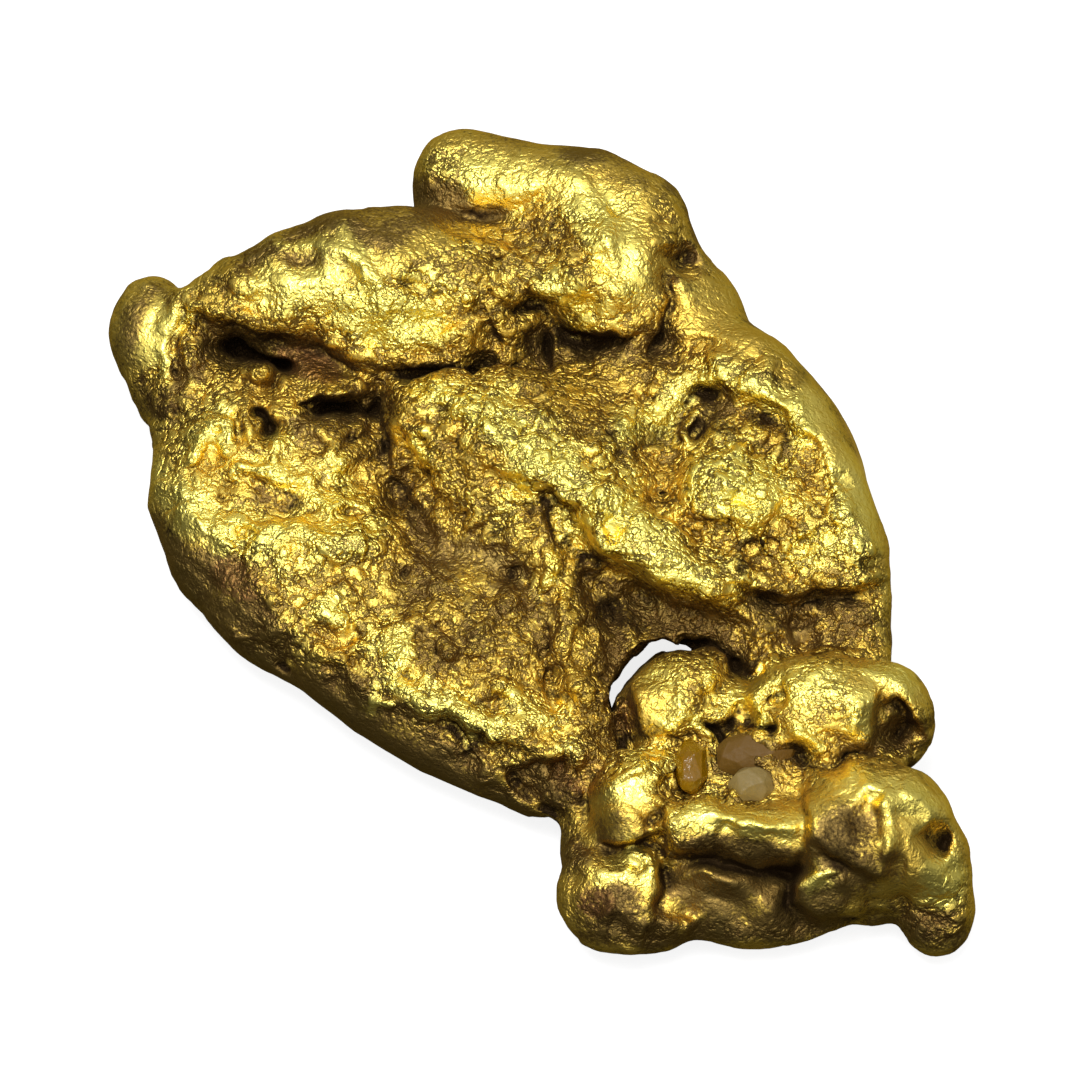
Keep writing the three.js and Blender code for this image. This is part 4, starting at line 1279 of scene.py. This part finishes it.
    def hidden(self, points: np.ndarray, normals: np.ndarray, distances: Sequence[float]) -> np.ndarray:
        """Measures how much of the open half space round each point the mass itself hides.

        Args:
            points: Places on the skin.
            normals: The skin's normals there.
            distances: How far out to look.

        Returns:
            The hidden share of each point, from 0 to 1.
        """
        inside = self.values < 0
        limit = np.array(self.values.shape) - 1
        total = np.zeros(len(points))
        weight = np.zeros(len(points))
        for way in spiral(40):
            facing = np.maximum(normals @ way, 0)
            met = np.zeros(len(points), bool)
            for distance in distances:
                steps = np.rint(self.to_steps(points + normals * self.cell + way * distance)).astype(int)
                steps = np.clip(steps, 0, limit)
                met |= inside[steps[:, 0], steps[:, 1], steps[:, 2]]
            total += facing * met
            weight += facing
        return (total / weight).astype(np.float32)


@dataclass(frozen=True)
class Crumple:
    """Small flat facets, each tipped its own way, that meet in steps and cracks as in crumpled leaf.

    Attributes:
        size: Size of a facet.
        height: How far the facets stand out and go in.
        seed: Start of the random draws.
        softness: How far one facet runs over into the next.
        reach: How far from the origin the facets go.
    """

    size: float
    height: float
    seed: int
    softness: float = 0.03
    reach: float = 11.0

    def at(self, points: np.ndarray) -> tuple[np.ndarray, np.ndarray]:
        """Works out the facets at places on the skin.

        Args:
            points: X, Y and Z of each place.

        Returns:
            How far the skin stands out there, and the distance to the nearest crack.
        """
        low = -math.ceil(self.reach / self.size)
        cells = np.floor(points / self.size).astype(int) - low
        span = 3 * [2 - 2 * low]
        rng = np.random.default_rng(self.seed)
        middles = rng.uniform(0, 1, (*span, 3))
        tips = rng.standard_normal((*span, 3))
        levels = 0.6 * rng.standard_normal(span)
        distances, heights = [], []
        for step in np.ndindex(3, 3, 3):
            near = tuple(np.clip(cells + np.array(step) - 1, 0, span[0] - 1).T)
            way = points / self.size - (middles[near] + np.array(near).T + low)
            distances.append(np.sqrt((way * way).sum(axis=1)) * self.size)
            heights.append(levels[near] + (way * tips[near]).sum(axis=1))
        distances, heights = np.array(distances), np.array(heights)
        first, second = np.partition(distances, 1, axis=0)[:2]
        shares = np.exp((first - distances) / self.softness)
        return self.height * (shares * heights).sum(axis=0) / shares.sum(axis=0), 0.5 * (second - first)


CRUMPLES = (Crumple(1.2, 0.09, 31), Crumple(0.55, 0.045, 32), Crumple(0.25, 0.02, 33, 0.02))

# How the skin is marked where the photograph doesn't show it.
# Tarnish and soot here carry painted shade as well, and polish the painted highlight.
USUAL_MARKS = {Finish.TARNISH: 0.35, Finish.RUST: 0.1, Finish.SOOT: 0.1, Finish.POLISH: 0.15}


def largest_part(count: int, faces: np.ndarray) -> np.ndarray:
    """Finds the faces of the largest connected part of a mesh.

    Args:
        count: Number of points.
        faces: Point numbers of each face.

    Returns:
        Which faces belong to it.
    """
    label = np.arange(count)
    while True:
        lowest = label[faces].min(axis=1)
        spread = label.copy()
        np.minimum.at(spread, faces.ravel(), np.repeat(lowest, faces.shape[1]))
        spread = spread[spread]
        if (spread == label).all():
            break
        label = spread
    names, sizes = np.unique(label[faces[:, 0]], return_counts=True)
    return label[faces[:, 0]] == names[sizes.argmax()]


def mesh_of(name: str, points: np.ndarray, faces: np.ndarray) -> bpy.types.Mesh:
    """Makes a smooth-shaded mesh.

    Args:
        name: The mesh's name.
        points: X, Y and Z of each point in millimetres.
        faces: Point numbers of each face, all with as many sides.

    Returns:
        The mesh, in metres.
    """
    used, corners = np.unique(faces, return_inverse=True)
    sides = faces.shape[1]
    mesh = bpy.data.meshes.new(name)
    mesh.vertices.add(len(used))
    mesh.vertices.foreach_set("co", (points[used] * MM).astype(np.float32).ravel())
    mesh.loops.add(faces.size)
    mesh.loops.foreach_set("vertex_index", corners.astype(np.int32).ravel())
    mesh.polygons.add(len(faces))
    mesh.polygons.foreach_set("loop_start", np.arange(0, faces.size, sides, dtype=np.int32))
    mesh.update(calc_edges=True)
    mesh.shade_smooth()
    return mesh


def show(name: str, mesh: bpy.types.Mesh) -> bpy.types.Object:
    """Puts a mesh into the scene as an object.

    Args:
        name: The object's name.
        mesh: Its mesh.

    Returns:
        The object.
    """
    made = bpy.data.objects.new(name, mesh)
    bpy.context.scene.collection.objects.link(made)
    return made


Number = float | int


class Value:
    """A shader socket that sums and products can be written with."""

    def __init__(self, shader: "Shader", socket: bpy.types.NodeSocket) -> None:
        """Wraps a socket of a shader."""
        self.shader = shader
        self.socket = socket

    def _math(self, operation: str, a: "Value | Number", b: "Value | Number") -> "Value":
        """Adds a Math node."""
        return self.shader.node("ShaderNodeMath", {"operation": operation}, {0: a, 1: b})

    def __add__(self, other: "Value | Number") -> "Value":
        """Adds."""
        return self._math("ADD", self, other)

    def __radd__(self, other: Number) -> "Value":
        """Adds to a number."""
        return self._math("ADD", other, self)

    def __sub__(self, other: "Value | Number") -> "Value":
        """Takes away."""
        return self._math("SUBTRACT", self, other)

    def __rsub__(self, other: Number) -> "Value":
        """Takes from a number."""
        return self._math("SUBTRACT", other, self)

    def __mul__(self, other: "Value | Number") -> "Value":
        """Multiplies."""
        return self._math("MULTIPLY", self, other)

    def __rmul__(self, other: Number) -> "Value":
        """Multiplies a number."""
        return self._math("MULTIPLY", other, self)

    def clamped(self) -> "Value":
        """Keeps the value from 0 to 1."""
        return self.shader.node("ShaderNodeClamp", {}, {"Value": self})

    def rise(self, low: float, high: float) -> "Value":
        """Rises smoothly from 0 at low to 1 at high."""
        ends = {"Value": self, "From Min": low, "From Max": high}
        return self.shader.node("ShaderNodeMapRange", {"interpolation_type": "SMOOTHSTEP"}, ends)


class Shader:
    """A material's node tree, made by writing down what feeds what."""

    def __init__(self, name: str, tree: bpy.types.NodeTree | None = None) -> None:
        """Starts an empty material, or empties a tree that is given.

        Args:
            name: The material's name.
            tree: The tree to use in place of a new material's.
        """
        self.material = None
        if tree is None:
            self.material = bpy.data.materials.new(name)
            self.material.use_nodes = True
            tree = self.material.node_tree
        self.tree = tree
        self.tree.nodes.clear()

    def node(
        self, kind: str, settings: dict[str, Any], inputs: dict[str | int, Any], output: str | int = 0
    ) -> Value:
        """Adds a node.

        Args:
            kind: The node's type.
            settings: What is set on the node itself, before its sockets.
            inputs: Values or links of its sockets, by name or number.
            output: The socket that is read from it.

        Returns:
            That socket.
        """
        made = self.tree.nodes.new(kind)
        for name, setting in settings.items():
            setattr(made, name, setting)
        for name, given in inputs.items():
            if isinstance(given, Value):
                self.tree.links.new(given.socket, made.inputs[name])
            else:
                made.inputs[name].default_value = given
        return Value(self, made.outputs[output])

    def mark(self, name: str) -> Value:
        """Reads a number that is kept on the mesh."""
        return self.node("ShaderNodeAttribute", {"attribute_name": name}, {}, "Fac")

    def mix(self, share: Value | Number, a: Any, b: Any) -> Value:
        """Mixes two colours.

        Args:
            share: Share of the second.
            a: The first.
            b: The second.

        Returns:
            The mixed colour.
        """
        return self.node("ShaderNodeMix", {"data_type": "RGBA"}, {0: share, 6: a, 7: b}, 2)

    def noise(self, size: float, detail: float, roughness: float = 0.55) -> Value:
        """Adds cloudy noise.

        Args:
            size: Size of its features in millimetres.
            detail: How many finer layers it has.
            roughness: Strength of the finer layers.

        Returns:
            The noise, from 0 to 1.
        """
        inputs = {"Vector": self.place(), "Scale": 1 / (size * MM), "Detail": detail, "Roughness": roughness}
        return self.node("ShaderNodeTexNoise", {"noise_dimensions": "3D"}, inputs, "Fac")

    def place(self) -> Value:
        """Reads the place on the object."""
        return self.node("ShaderNodeTexCoord", {}, {}, "Object")

    def along(self, vector: Value, way: tuple[float, float, float]) -> Value:
        """Measures how far a vector goes one way."""
        return self.node("ShaderNodeVectorMath", {"operation": "DOT_PRODUCT"}, {0: vector, 1: way}, "Value")

    def wrinkles(self, size: float, detail: float, depth: float) -> Value:
        """Adds pillows of uneven sizes with sharp creases between them.

        Args:
            size: Size of the largest pillows in millimetres.
            detail: How many finer layers they have.
            depth: How far up from a crease a pillow rounds over.

        Returns:
            The height, 0 in a crease and 1 on a pillow.
        """
        level = self.noise(size, detail, 0.6) - 0.5
        return self.node("ShaderNodeMath", {"operation": "ABSOLUTE"}, {0: level}).rise(0.0, depth)

    def bump(self, height: Value, distance: float) -> Value:
        """Turns a height, where 1 stands for a distance in millimetres, into a normal."""
        return self.node("ShaderNodeBump", {}, {"Height": height, "Distance": distance * MM})

    def surface(self, inputs: dict[str, Any]) -> bpy.types.Material:
        """Ends the tree in a principled surface.

        Args:
            inputs: Values or links of its sockets.

        Returns:
            The material.
        """
        skin = self.node("ShaderNodeBsdfPrincipled", {}, inputs)
        self.end("ShaderNodeOutputMaterial", {"Surface": skin})
        return self.material

    def end(self, kind: str, inputs: dict[str, Value]) -> None:
        """Adds the output node and links it.

        Args:
            kind: The output node's type.
            inputs: What feeds its sockets.
        """
        made = self.tree.nodes.new(kind)
        for name, given in inputs.items():
            self.tree.links.new(given.socket, made.inputs[name])


Colour = tuple[float, float, float, float]


@dataclass(frozen=True)
class GoldFinish:
    """Native gold: bright where it is worn, under a brown film elsewhere, with dirt in its creases, and with
    a painted highlight on worn crests and painted shade on steep sides, in hollows and in creases.

    Attributes:
        painted_highlight: Lemon colour of the painted highlight on the most worn crests.
        bright: Worn gold.
        dull: Gold that isn't worn.
        film_and_shade: The brown film, also laid as painted shade on steep sides and in hollows.
        rust: The reddish film.
        line: Thin dirt between the pillows of the fine grain.
        dirt_and_shade: Dark colour of thick dirt, and of painted shade, in hollows and creases.
        edge: What the gold reflects where it is seen along its skin.
        dent: How deep the fine grain is, in millimetres.
    """

    painted_highlight: Colour = (1.0, 0.88, 0.2, 1)
    bright: Colour = (1.0, 0.79, 0.16, 1)
    dull: Colour = (0.7, 0.48, 0.08, 1)
    film_and_shade: Colour = (0.17, 0.105, 0.034, 1)
    rust: Colour = (0.22, 0.1, 0.035, 1)
    line: Colour = (0.13, 0.075, 0.022, 1)
    dirt_and_shade: Colour = (0.04, 0.024, 0.01, 1)
    edge: Colour = (0.8, 0.56, 0.18, 1)
    dent: float = 0.052

    def material(self) -> bpy.types.Material:
        """Makes the material from the marks that the nugget's mesh carries.

        Returns:
            The material.
        """
        shader = Shader("gold")
        fine = shader.noise(0.07, 3)
        pillows = shader.wrinkles(0.34, 3, 0.13)
        polish, film_and_shade = shader.mark("polish"), shader.mark("tarnish")
        rust, soot, rough = shader.mark("rust"), shader.mark("soot"), shader.mark("rough")
        crease, hollow, clouds = shader.mark("crease"), shader.mark("hollow"), shader.mark("clouds")
        steep = shader.mark("steep")
        uneven = fine - 0.5
        split = (1 - pillows.rise(0.0, 0.35)) * (0.15 + rough * (0.9 + 0.8 * clouds)).clamped()
        split = split + 0.6 * shader.mark("crack")
        # Wear lightens the gold; painted shade darkens it where the skin is hidden in hollows.
        worn = (polish * 1.1 - hollow * 0.9 + uneven * 0.9 + clouds * 0.3 + 0.3).rise(0.15, 0.75)
        # The brown film from tarnish, plus painted shade on steep sides and in hollows.
        film_and_shade_share = film_and_shade * 0.8 + steep * 0.3 + hollow * 1.2 - polish * 0.9 + uneven * 1.3 + clouds * 0.5
        film_and_shade_share = film_and_shade_share.rise(0.25, 0.85)
        rusted = (rust + uneven * 0.8).rise(0.3, 0.8)
        lined = (split + uneven * 1.2 - polish * 0.4).rise(0.25, 0.85)
        # Dirt, plus painted shade in creases and hollows.
        dirt_and_shade_share = (crease * 0.75 + soot * 0.8 + hollow * 0.35 + uneven * 0.8 - polish * 0.2).rise(0.35, 0.95)
        # Painted highlight: lemon colour on polished crests, kept out of hollows.
        painted_highlight_share = (polish * 1.3 - hollow * 1.0 + uneven * 1.4 + clouds * 0.4 - 0.25).rise(0.1, 0.8)
        painted_highlight_share = painted_highlight_share * (0.4 + 0.6 * rough)
        colour = shader.mix(worn, self.dull, self.bright)
        colour = shader.mix(painted_highlight_share, colour, self.painted_highlight)
        colour = shader.mix(film_and_shade_share * 0.9, colour, self.film_and_shade)
        colour = shader.mix(rusted * 0.85, colour, self.rust)
        colour = shader.mix(lined * 0.85, colour, self.line)
        colour = shader.mix(dirt_and_shade_share, colour, self.dirt_and_shade)
        height = pillows * (0.1 + 1.1 * rough) + fine * (0.2 + 0.35 * rough)
        return shader.surface({
            "Base Color": colour,
            "Metallic": 1.0,
            "Specular Tint": self.edge,
            "Roughness": (0.45 - 0.1 * worn + 0.1 * film_and_shade_share + 0.2 * dirt_and_shade_share + 0.2 * uneven).clamped(),
            "Normal": shader.bump(height, self.dent),
        })


@dataclass(frozen=True)
class QuartzFinish:
    """A quartz grain: see-through, stained and scuffed.

    Attributes:
        name: The material's name.
        tint: Colour of the light that comes through.
        depth: How strongly it stains light, per metre.
        roughness: Scuffing of its surface.
        clearness: Share of the light that goes through it.
    """

    name: str
    tint: Colour
    depth: float
    roughness: float
    clearness: float

    def material(self) -> bpy.types.Material:
        """Makes the material.

        Returns:
            The material.
        """
        shader = Shader(self.name)
        surface = shader.node("ShaderNodeBsdfPrincipled", {}, {
            "Base Color": self.tint,
            "Roughness": self.roughness,
            "Specular IOR Level": 0.2,
            "IOR": 1.544,
            "Transmission Weight": self.clearness,
            "Normal": shader.bump(shader.noise(0.15, 3), 0.03),
        })
        stain = shader.node("ShaderNodeVolumeAbsorption", {}, {"Color": self.tint, "Density": self.depth})
        shader.end("ShaderNodeOutputMaterial", {"Surface": surface, "Volume": stain})
        return shader.material


@dataclass(frozen=True)
class PaperFinish:
    """The plain pale floor, lit a little from below.

    Attributes:
        colour: Its colour.
        glow: How strongly it is lit from below.
    """

    colour: Colour = (0.3, 0.3, 0.3, 1)
    glow: float = 0.82

    def material(self) -> bpy.types.Material:
        """Makes the material.

        Returns:
            The material.
        """
        return Shader("pale_floor").surface({
            "Base Color": self.colour,
            "Roughness": 0.9,
            "Emission Color": (1, 1, 1, 1),
            "Emission Strength": self.glow,
        })


@dataclass
class QuartzGrain:
    """A broken grain of quartz that sits in a pocket of the nugget.

    Attributes:
        node: The grain's name.
        slot: The record's slot for its material; not used.
        right: Right of its middle.
        up: Up of its middle.
        height: Height of its middle.
        sizes: Half sizes along X, Y and Z.
        finish: Its finish.
        corners: How many corners its hull has.
        unevenness: Share of its radius by which the corners vary.
        softness: Width of its softened edges.
    """

    node: str
    slot: str
    right: float
    up: float
    height: float
    sizes: tuple[float, float, float]
    finish: QuartzFinish
    corners: int = 48
    unevenness: float = 0.12
    softness: float = 0.08

    def pocket(self, clearance: float) -> Lobe:
        """The hollow that the grain sits in."""
        sizes = tuple(size + clearance for size in self.sizes)
        return Lobe(self.right, self.up, self.height, sizes)

    def build(self) -> bpy.types.Object:
        """Makes the grain's hull with softened edges.

        Returns:
            The grain.
        """
        middle = SIGHT.place(self.right, self.up, self.height)
        made = bmesh.new()
        for i, way in enumerate(spiral(self.corners)):
            reach = 1 + self.unevenness * math.sin(5.1 * i + 7 * self.sizes[0])
            corner = middle + np.roll(way, -1) * np.array(self.sizes) * reach
            made.verts.new(corner * MM)
        hull = bmesh.ops.convex_hull(made, input=made.verts)
        inner = {part for part in hull["geom_interior"] if isinstance(part, bmesh.types.BMVert)}
        bmesh.ops.delete(made, geom=list(inner), context="VERTS")
        mesh = bpy.data.meshes.new(self.node + "_shape")
        made.to_mesh(mesh)
        made.free()
        grain = show(self.node + "_piece", mesh)
        bevel = grain.modifiers.new("softened edges", "BEVEL")
        bevel.width, bevel.segments, bevel.limit_method = self.softness * MM, 4, "NONE"
        return grain

    def dress(self, grain: bpy.types.Object) -> None:
        """Gives the grain its finish and its place on the frame.

        Args:
            grain: The grain.
        """
        grain.data.materials.append(self.finish.material())
        settle(grain, self.node)


def settle(piece: bpy.types.Object, node: str) -> None:
    """Ties a piece to the frame.

    Args:
        piece: The piece.
        node: The node that it stands for.
    """
    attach(piece, BODY)
    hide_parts(node)


@dataclass(frozen=True)
class Survey:
    """Where each point of the nugget's skin is.

    Attributes:
        points: X, Y and Z of each point in millimetres.
        normals: The skin's normals there.
        right: The points' rights.
        up: The points' ups.
        shown: How far each point is on the front, from 0 to 1.
    """

    points: np.ndarray
    normals: np.ndarray
    right: np.ndarray
    up: np.ndarray
    shown: np.ndarray

    def read(self, chart: Chart, grid: np.ndarray, usual: float) -> np.ndarray:
        """Reads a grid of the chart, with the usual value off the front."""
        return usual + (chart.read(grid, self.right, self.up) - usual) * self.shown


@dataclass
class Nugget:
    """The gold: one mass of melted lobes and rolled rims, with every fold, pit and grain of its skin.

    Attributes:
        grains: The quartz grains that it holds.
        cell: Spacing of the lattice that its skin is laid over.
        triangles: How many triangles its skin keeps.
        grip: How far the gold grips over the edge of a quartz grain.
        usual_roughness: How coarse the skin is off the front.
        front_depth: How far below the front the drawn skin has run out, and how far it is still full.
        octaves: Spacing, height and seed of each size of rounded grain.
    """

    grains: Sequence[QuartzGrain]
    cell: float = 0.06
    triangles: int = 190_000
    grip: float = 0.1
    usual_roughness: float = 0.4
    front_depth: tuple[float, float] = (2.0, 1.2)
    octaves: tuple[tuple[float, float, int], ...] = ((0.5, 0.045, 11), (0.26, 0.035, 12))

    def mass(self) -> tuple[SightLattice, Chart, np.ndarray]:
        """Works out the nugget's distances.

        Returns:
            The lattice, the chart of its skin and the height of its front.
        """
        lattice = SightLattice(self.cell)
        for shape in [*LOBES.values(), *ROLLS.values()]:
            lattice.add(shape)
        for shape in FOLDS.values():
            lattice.press(shape, lattice.fold_blend)
        chart = Chart(lattice.right, lattice.up)
        front = lattice.front()
        lattice.raise_by(chart.relief, front)
        chart.hush_outline(front)
        below = front[:, :, None] - lattice.height[None, None, :]
        amount = 0.5 + (1.2 * chart.coarseness()[:, :, None] - 0.5) * ease(below, *self.front_depth)
        lattice.rough_up(amount, self.octaves)
        lattice.carve_slit()
        for grain in self.grains:
            lattice.press(grain.pocket(-self.grip), 0.08)
        lattice.flatten()
        return lattice, chart, front

    def thin(self, nugget: bpy.types.Object) -> None:
        """Brings the skin down to its count of triangles, keeping its shape.

        Args:
            nugget: The nugget.
        """
        count = sum(len(face.vertices) - 2 for face in nugget.data.polygons)
        modifier = nugget.modifiers.new("thinner", "DECIMATE")
        modifier.ratio = min(1.0, self.triangles / count)
        modifier.use_collapse_triangulate = True
        graph = bpy.context.evaluated_depsgraph_get()
        thinned = bpy.data.meshes.new_from_object(nugget.evaluated_get(graph))
        nugget.modifiers.clear()
        nugget.data = thinned
        thinned.shade_smooth()

    def build(self) -> bpy.types.Object:
        """Makes the nugget's mesh and marks its skin.

        Returns:
            The nugget.
        """
        lattice, chart, front = self.mass()
        log.info("lattice of %d nodes", lattice.values.size)
        steps, faces = lattice.skin()
        faces = faces[largest_part(len(steps), faces)]
        nugget = show("nugget_piece", mesh_of("nugget_skin", lattice.to_world(steps), faces))
        self.crumple(nugget.data, lattice, chart, front)
        self.thin(nugget)
        log.info("skin of %d triangles", len(nugget.data.polygons))
        self.mark(nugget.data, lattice, chart, front)
        return nugget

    def crumple(self, mesh: bpy.types.Mesh, lattice: SightLattice, chart: Chart, front: np.ndarray) -> None:
        """Crumples the skin, more where it is wild, and not where it rests.

        Args:
            mesh: The nugget's mesh.
            lattice: The nugget's distances.
            chart: The chart of its skin.
            front: The height of its front.
        """
        survey = self.survey(mesh, lattice, chart, front)
        rough = survey.read(chart, chart.coarseness(), self.usual_roughness)
        lift = self.rise(survey.points, rough)[:, None] * survey.normals
        points = (survey.points + lift).astype(np.float32)
        mesh.vertices.foreach_set("co", (points * MM).ravel())
        mesh.update()

    @staticmethod
    def rise(points: np.ndarray, rough: np.ndarray) -> np.ndarray:
        """Works out how far the crumpling lifts places on the skin."""
        return sum(crumple.at(points)[0] for crumple in CRUMPLES) * rough * ease(points[:, 2], 0.02, 0.35)

    def survey(
        self, mesh: bpy.types.Mesh, lattice: SightLattice, chart: Chart, front: np.ndarray
    ) -> Survey:
        """Reads where each point of the skin is.

        Args:
            mesh: The nugget's mesh.
            lattice: The nugget's distances.
            chart: The chart of its skin.
            front: The height of its front.

        Returns:
            The survey.
        """
        points, normals = np.empty((2, 3 * len(mesh.vertices)), np.float32)
        mesh.vertices.foreach_get("co", points)
        mesh.vertices.foreach_get("normal", normals)
        points, normals = points.reshape(-1, 3) / MM, normals.reshape(-1, 3)
        steps = lattice.to_steps(points)
        right = lattice.right[0] + steps[:, 0] * lattice.cell
        up = lattice.up[0] + steps[:, 1] * lattice.cell
        shown = ease(chart.read(front, right, up) - points[:, 2], *self.front_depth)
        return Survey(points, normals, right, up, shown)

    def mark(self, mesh: bpy.types.Mesh, lattice: SightLattice, chart: Chart, front: np.ndarray) -> None:
        """Keeps on the mesh how each point of the skin is worn, stained, steep and hidden; steepness and
        hiddenness become painted shade in the material.

        Args:
            mesh: The nugget's mesh.
            lattice: The nugget's distances.
            chart: The chart of its skin.
            front: The height of its front.
        """
        survey = self.survey(mesh, lattice, chart, front)
        points, normals = survey.points, survey.normals
        for finish, usual in USUAL_MARKS.items():
            self.keep(mesh, finish.name.lower(), survey.read(chart, chart.marks[finish], usual))
        rough = survey.read(chart, chart.coarseness(), self.usual_roughness)
        self.keep(mesh, "rough", rough)
        # Steepness, which the material turns into painted shade on the sides.
        self.keep(mesh, "steep", np.clip((0.6 - normals[:, 2]) / 0.5, 0, 1))
        cracks = sum(
            np.exp(-crumple.at(points)[1] / (0.02 + 0.05 * crumple.size)) for crumple in CRUMPLES[:2]
        )
        self.keep(mesh, "crack", np.clip(cracks, 0, 1) * np.clip(rough, 0, 1))
        clouds = cloud(points, 0.7, 41)[:, :2].mean(axis=1) + 0.4 * cloud(points, 0.25, 42, 1)[:, 0]
        self.keep(mesh, "clouds", clouds)
        points = points - self.rise(points, rough)[:, None] * normals
        # How hidden each point is, which the material turns into painted shade in creases and hollows,
        # besides dirt.
        self.keep(mesh, "crease", lattice.hidden(points, normals, (0.07, 0.13, 0.2)))
        self.keep(mesh, "hollow", lattice.hidden(points, normals, (0.25, 0.5, 0.8, 1.2)))

    @staticmethod
    def keep(mesh: bpy.types.Mesh, name: str, values: np.ndarray) -> None:
        """Keeps a number for each point of a mesh."""
        mesh.attributes.new(name, "FLOAT", "POINT").data.foreach_set("value", values.astype(np.float32))

    def dress(self, nugget: bpy.types.Object) -> None:
        """Gives the nugget its finish and its place on the frame.

        Args:
            nugget: The nugget.
        """
        nugget.data.materials.clear()
        nugget.data.materials.append(GoldFinish().material())
        settle(nugget, "nugget")


@dataclass
class Studio:
    """The pale floor, the soft lights and the camera at the photograph's viewing angle.

    Attributes:
        distance: From the camera to the middle of the picture, in metres.
        view_width: Width of what the camera sees, in metres.
        sensor: Width of the camera's sensor in millimetres.
        floor_half: Half the floor's width, in metres.
        dimness: How bright the room is at its darkest.
        ceiling: How much brighter it is overhead.
        back: How much brighter it is at its back and a little to the right.
    """

    distance: float = 0.5
    view_width: float = 0.0216
    sensor: float = 36.0
    floor_half: float = 0.6
    dimness: float = 0.085
    ceiling: float = 1.14
    back: float = 0.3

    def floor(self) -> None:
        """Lays the floor that the nugget rests on."""
        half = self.floor_half
        mesh = bpy.data.meshes.new("floor_sheet")
        corners = [(-half, -half, 0), (half, -half, 0), (half, half, 0), (-half, half, 0)]
        mesh.from_pydata(corners, [], [(0, 1, 2, 3)])
        floor = show("floor", mesh)
        floor.data.materials.append(PaperFinish().material())
        floor.visible_glossy = floor.visible_diffuse = False

    def light(self, name: str, place: tuple[float, float, float], sizes: Spot, power: float) -> None:
        """Hangs a soft box that faces the nugget.

        Args:
            name: The light's name.
            place: Where it hangs, in metres.
            sizes: Its width and height in metres.
            power: Its power in watts.
        """
        data = bpy.data.lights.new(name, "AREA")
        data.shape, data.size, data.size_y, data.energy = "RECTANGLE", sizes[0], sizes[1], power
        lamp = bpy.data.objects.new(name, data)
        lamp.location = place
        lamp.rotation_euler = (-lamp.location).to_track_quat("-Z", "Y").to_euler()
        lamp.visible_camera = False
        bpy.context.scene.collection.objects.link(lamp)

    def world(self) -> None:
        """Fills the room with dim light that is bright overhead and grows a little toward its back."""
        world = bpy.data.worlds.new("room")
        bpy.context.scene.world = world
        world.use_nodes = True
        shader = Shader("room", world.node_tree)
        way = shader.node("ShaderNodeTexCoord", {}, {}, "Generated")
        ceiling = shader.along(way, (-0.06, -0.26, 0.96)).rise(0.28, 0.92)
        back = shader.along(way, (0.3, 0.95, 0.0)).rise(0.0, 0.9)
        level = self.dimness + self.ceiling * ceiling + self.back * back
        glow = shader.node("ShaderNodeBackground", {}, {"Color": (1, 1, 1, 1), "Strength": level})
        shader.end("ShaderNodeOutputWorld", {"Surface": glow})

    def camera(self) -> None:
        """Places the camera."""
        data = bpy.data.cameras.new("camera")
        data.sensor_width = self.sensor
        data.lens = self.sensor * self.distance / self.view_width
        data.clip_start, data.clip_end = 0.01, 10.0
        camera = bpy.data.objects.new("camera", data)
        aim = SIGHT.place(0.0, 0.0, 0.0) * MM
        back = np.array([0, -SIGHT.cosine, SIGHT.sine]) * self.distance
        camera.location = aim + back
        camera.rotation_euler = (math.pi / 2 - SIGHT.slope, 0, 0)
        bpy.context.scene.collection.objects.link(camera)
        bpy.context.scene.camera = camera

    def build(self) -> None:
        """Sets up everything round the nugget."""
        bpy.context.scene.view_settings.view_transform = "Standard"
        self.floor()
        self.light("overhead_softbox", (-0.05, -0.05, 0.4), (0.2, 0.14), 1.3)
        self.world()
        self.camera()


GRAINS = (
    QuartzGrain("pale_quartz_grain", "pale_quartz", 4.2, -4.86, 2.76, (0.46, 0.42, 0.4),
                QuartzFinish("pale_quartz", (0.27, 0.19, 0.06, 1), 150.0, 0.45, 0.35)),
    QuartzGrain("brown_quartz_grain", "brown_quartz", 4.25, -4.25, 2.76, (0.8, 0.5, 0.42),
                QuartzFinish("brown_quartz", (0.12, 0.06, 0.006, 1), 300.0, 0.6, 0.15)),
    QuartzGrain("amber_quartz_grain", "amber_quartz", 2.98, -4.5, 2.66, (0.34, 0.6, 0.42),
                QuartzFinish("amber_quartz", (0.3, 0.15, 0.0005, 1), 400.0, 0.15, 0.5)),
)


def main() -> None:
    """Builds the studio, the nugget and its grains, and reports each piece."""
    logging.basicConfig(level=logging.INFO, format="%(message)s")
    Studio().build()
    for grain in GRAINS:
        made = grain.build()
        grain.dress(made)
        log.info("%s: %d faces", made.name, len(made.data.polygons))
    nugget = Nugget(GRAINS)
    made = nugget.build()
    nugget.dress(made)
    log.info("%s: %d faces", made.name, len(made.data.polygons))


if __name__ == "__main__":
    main()
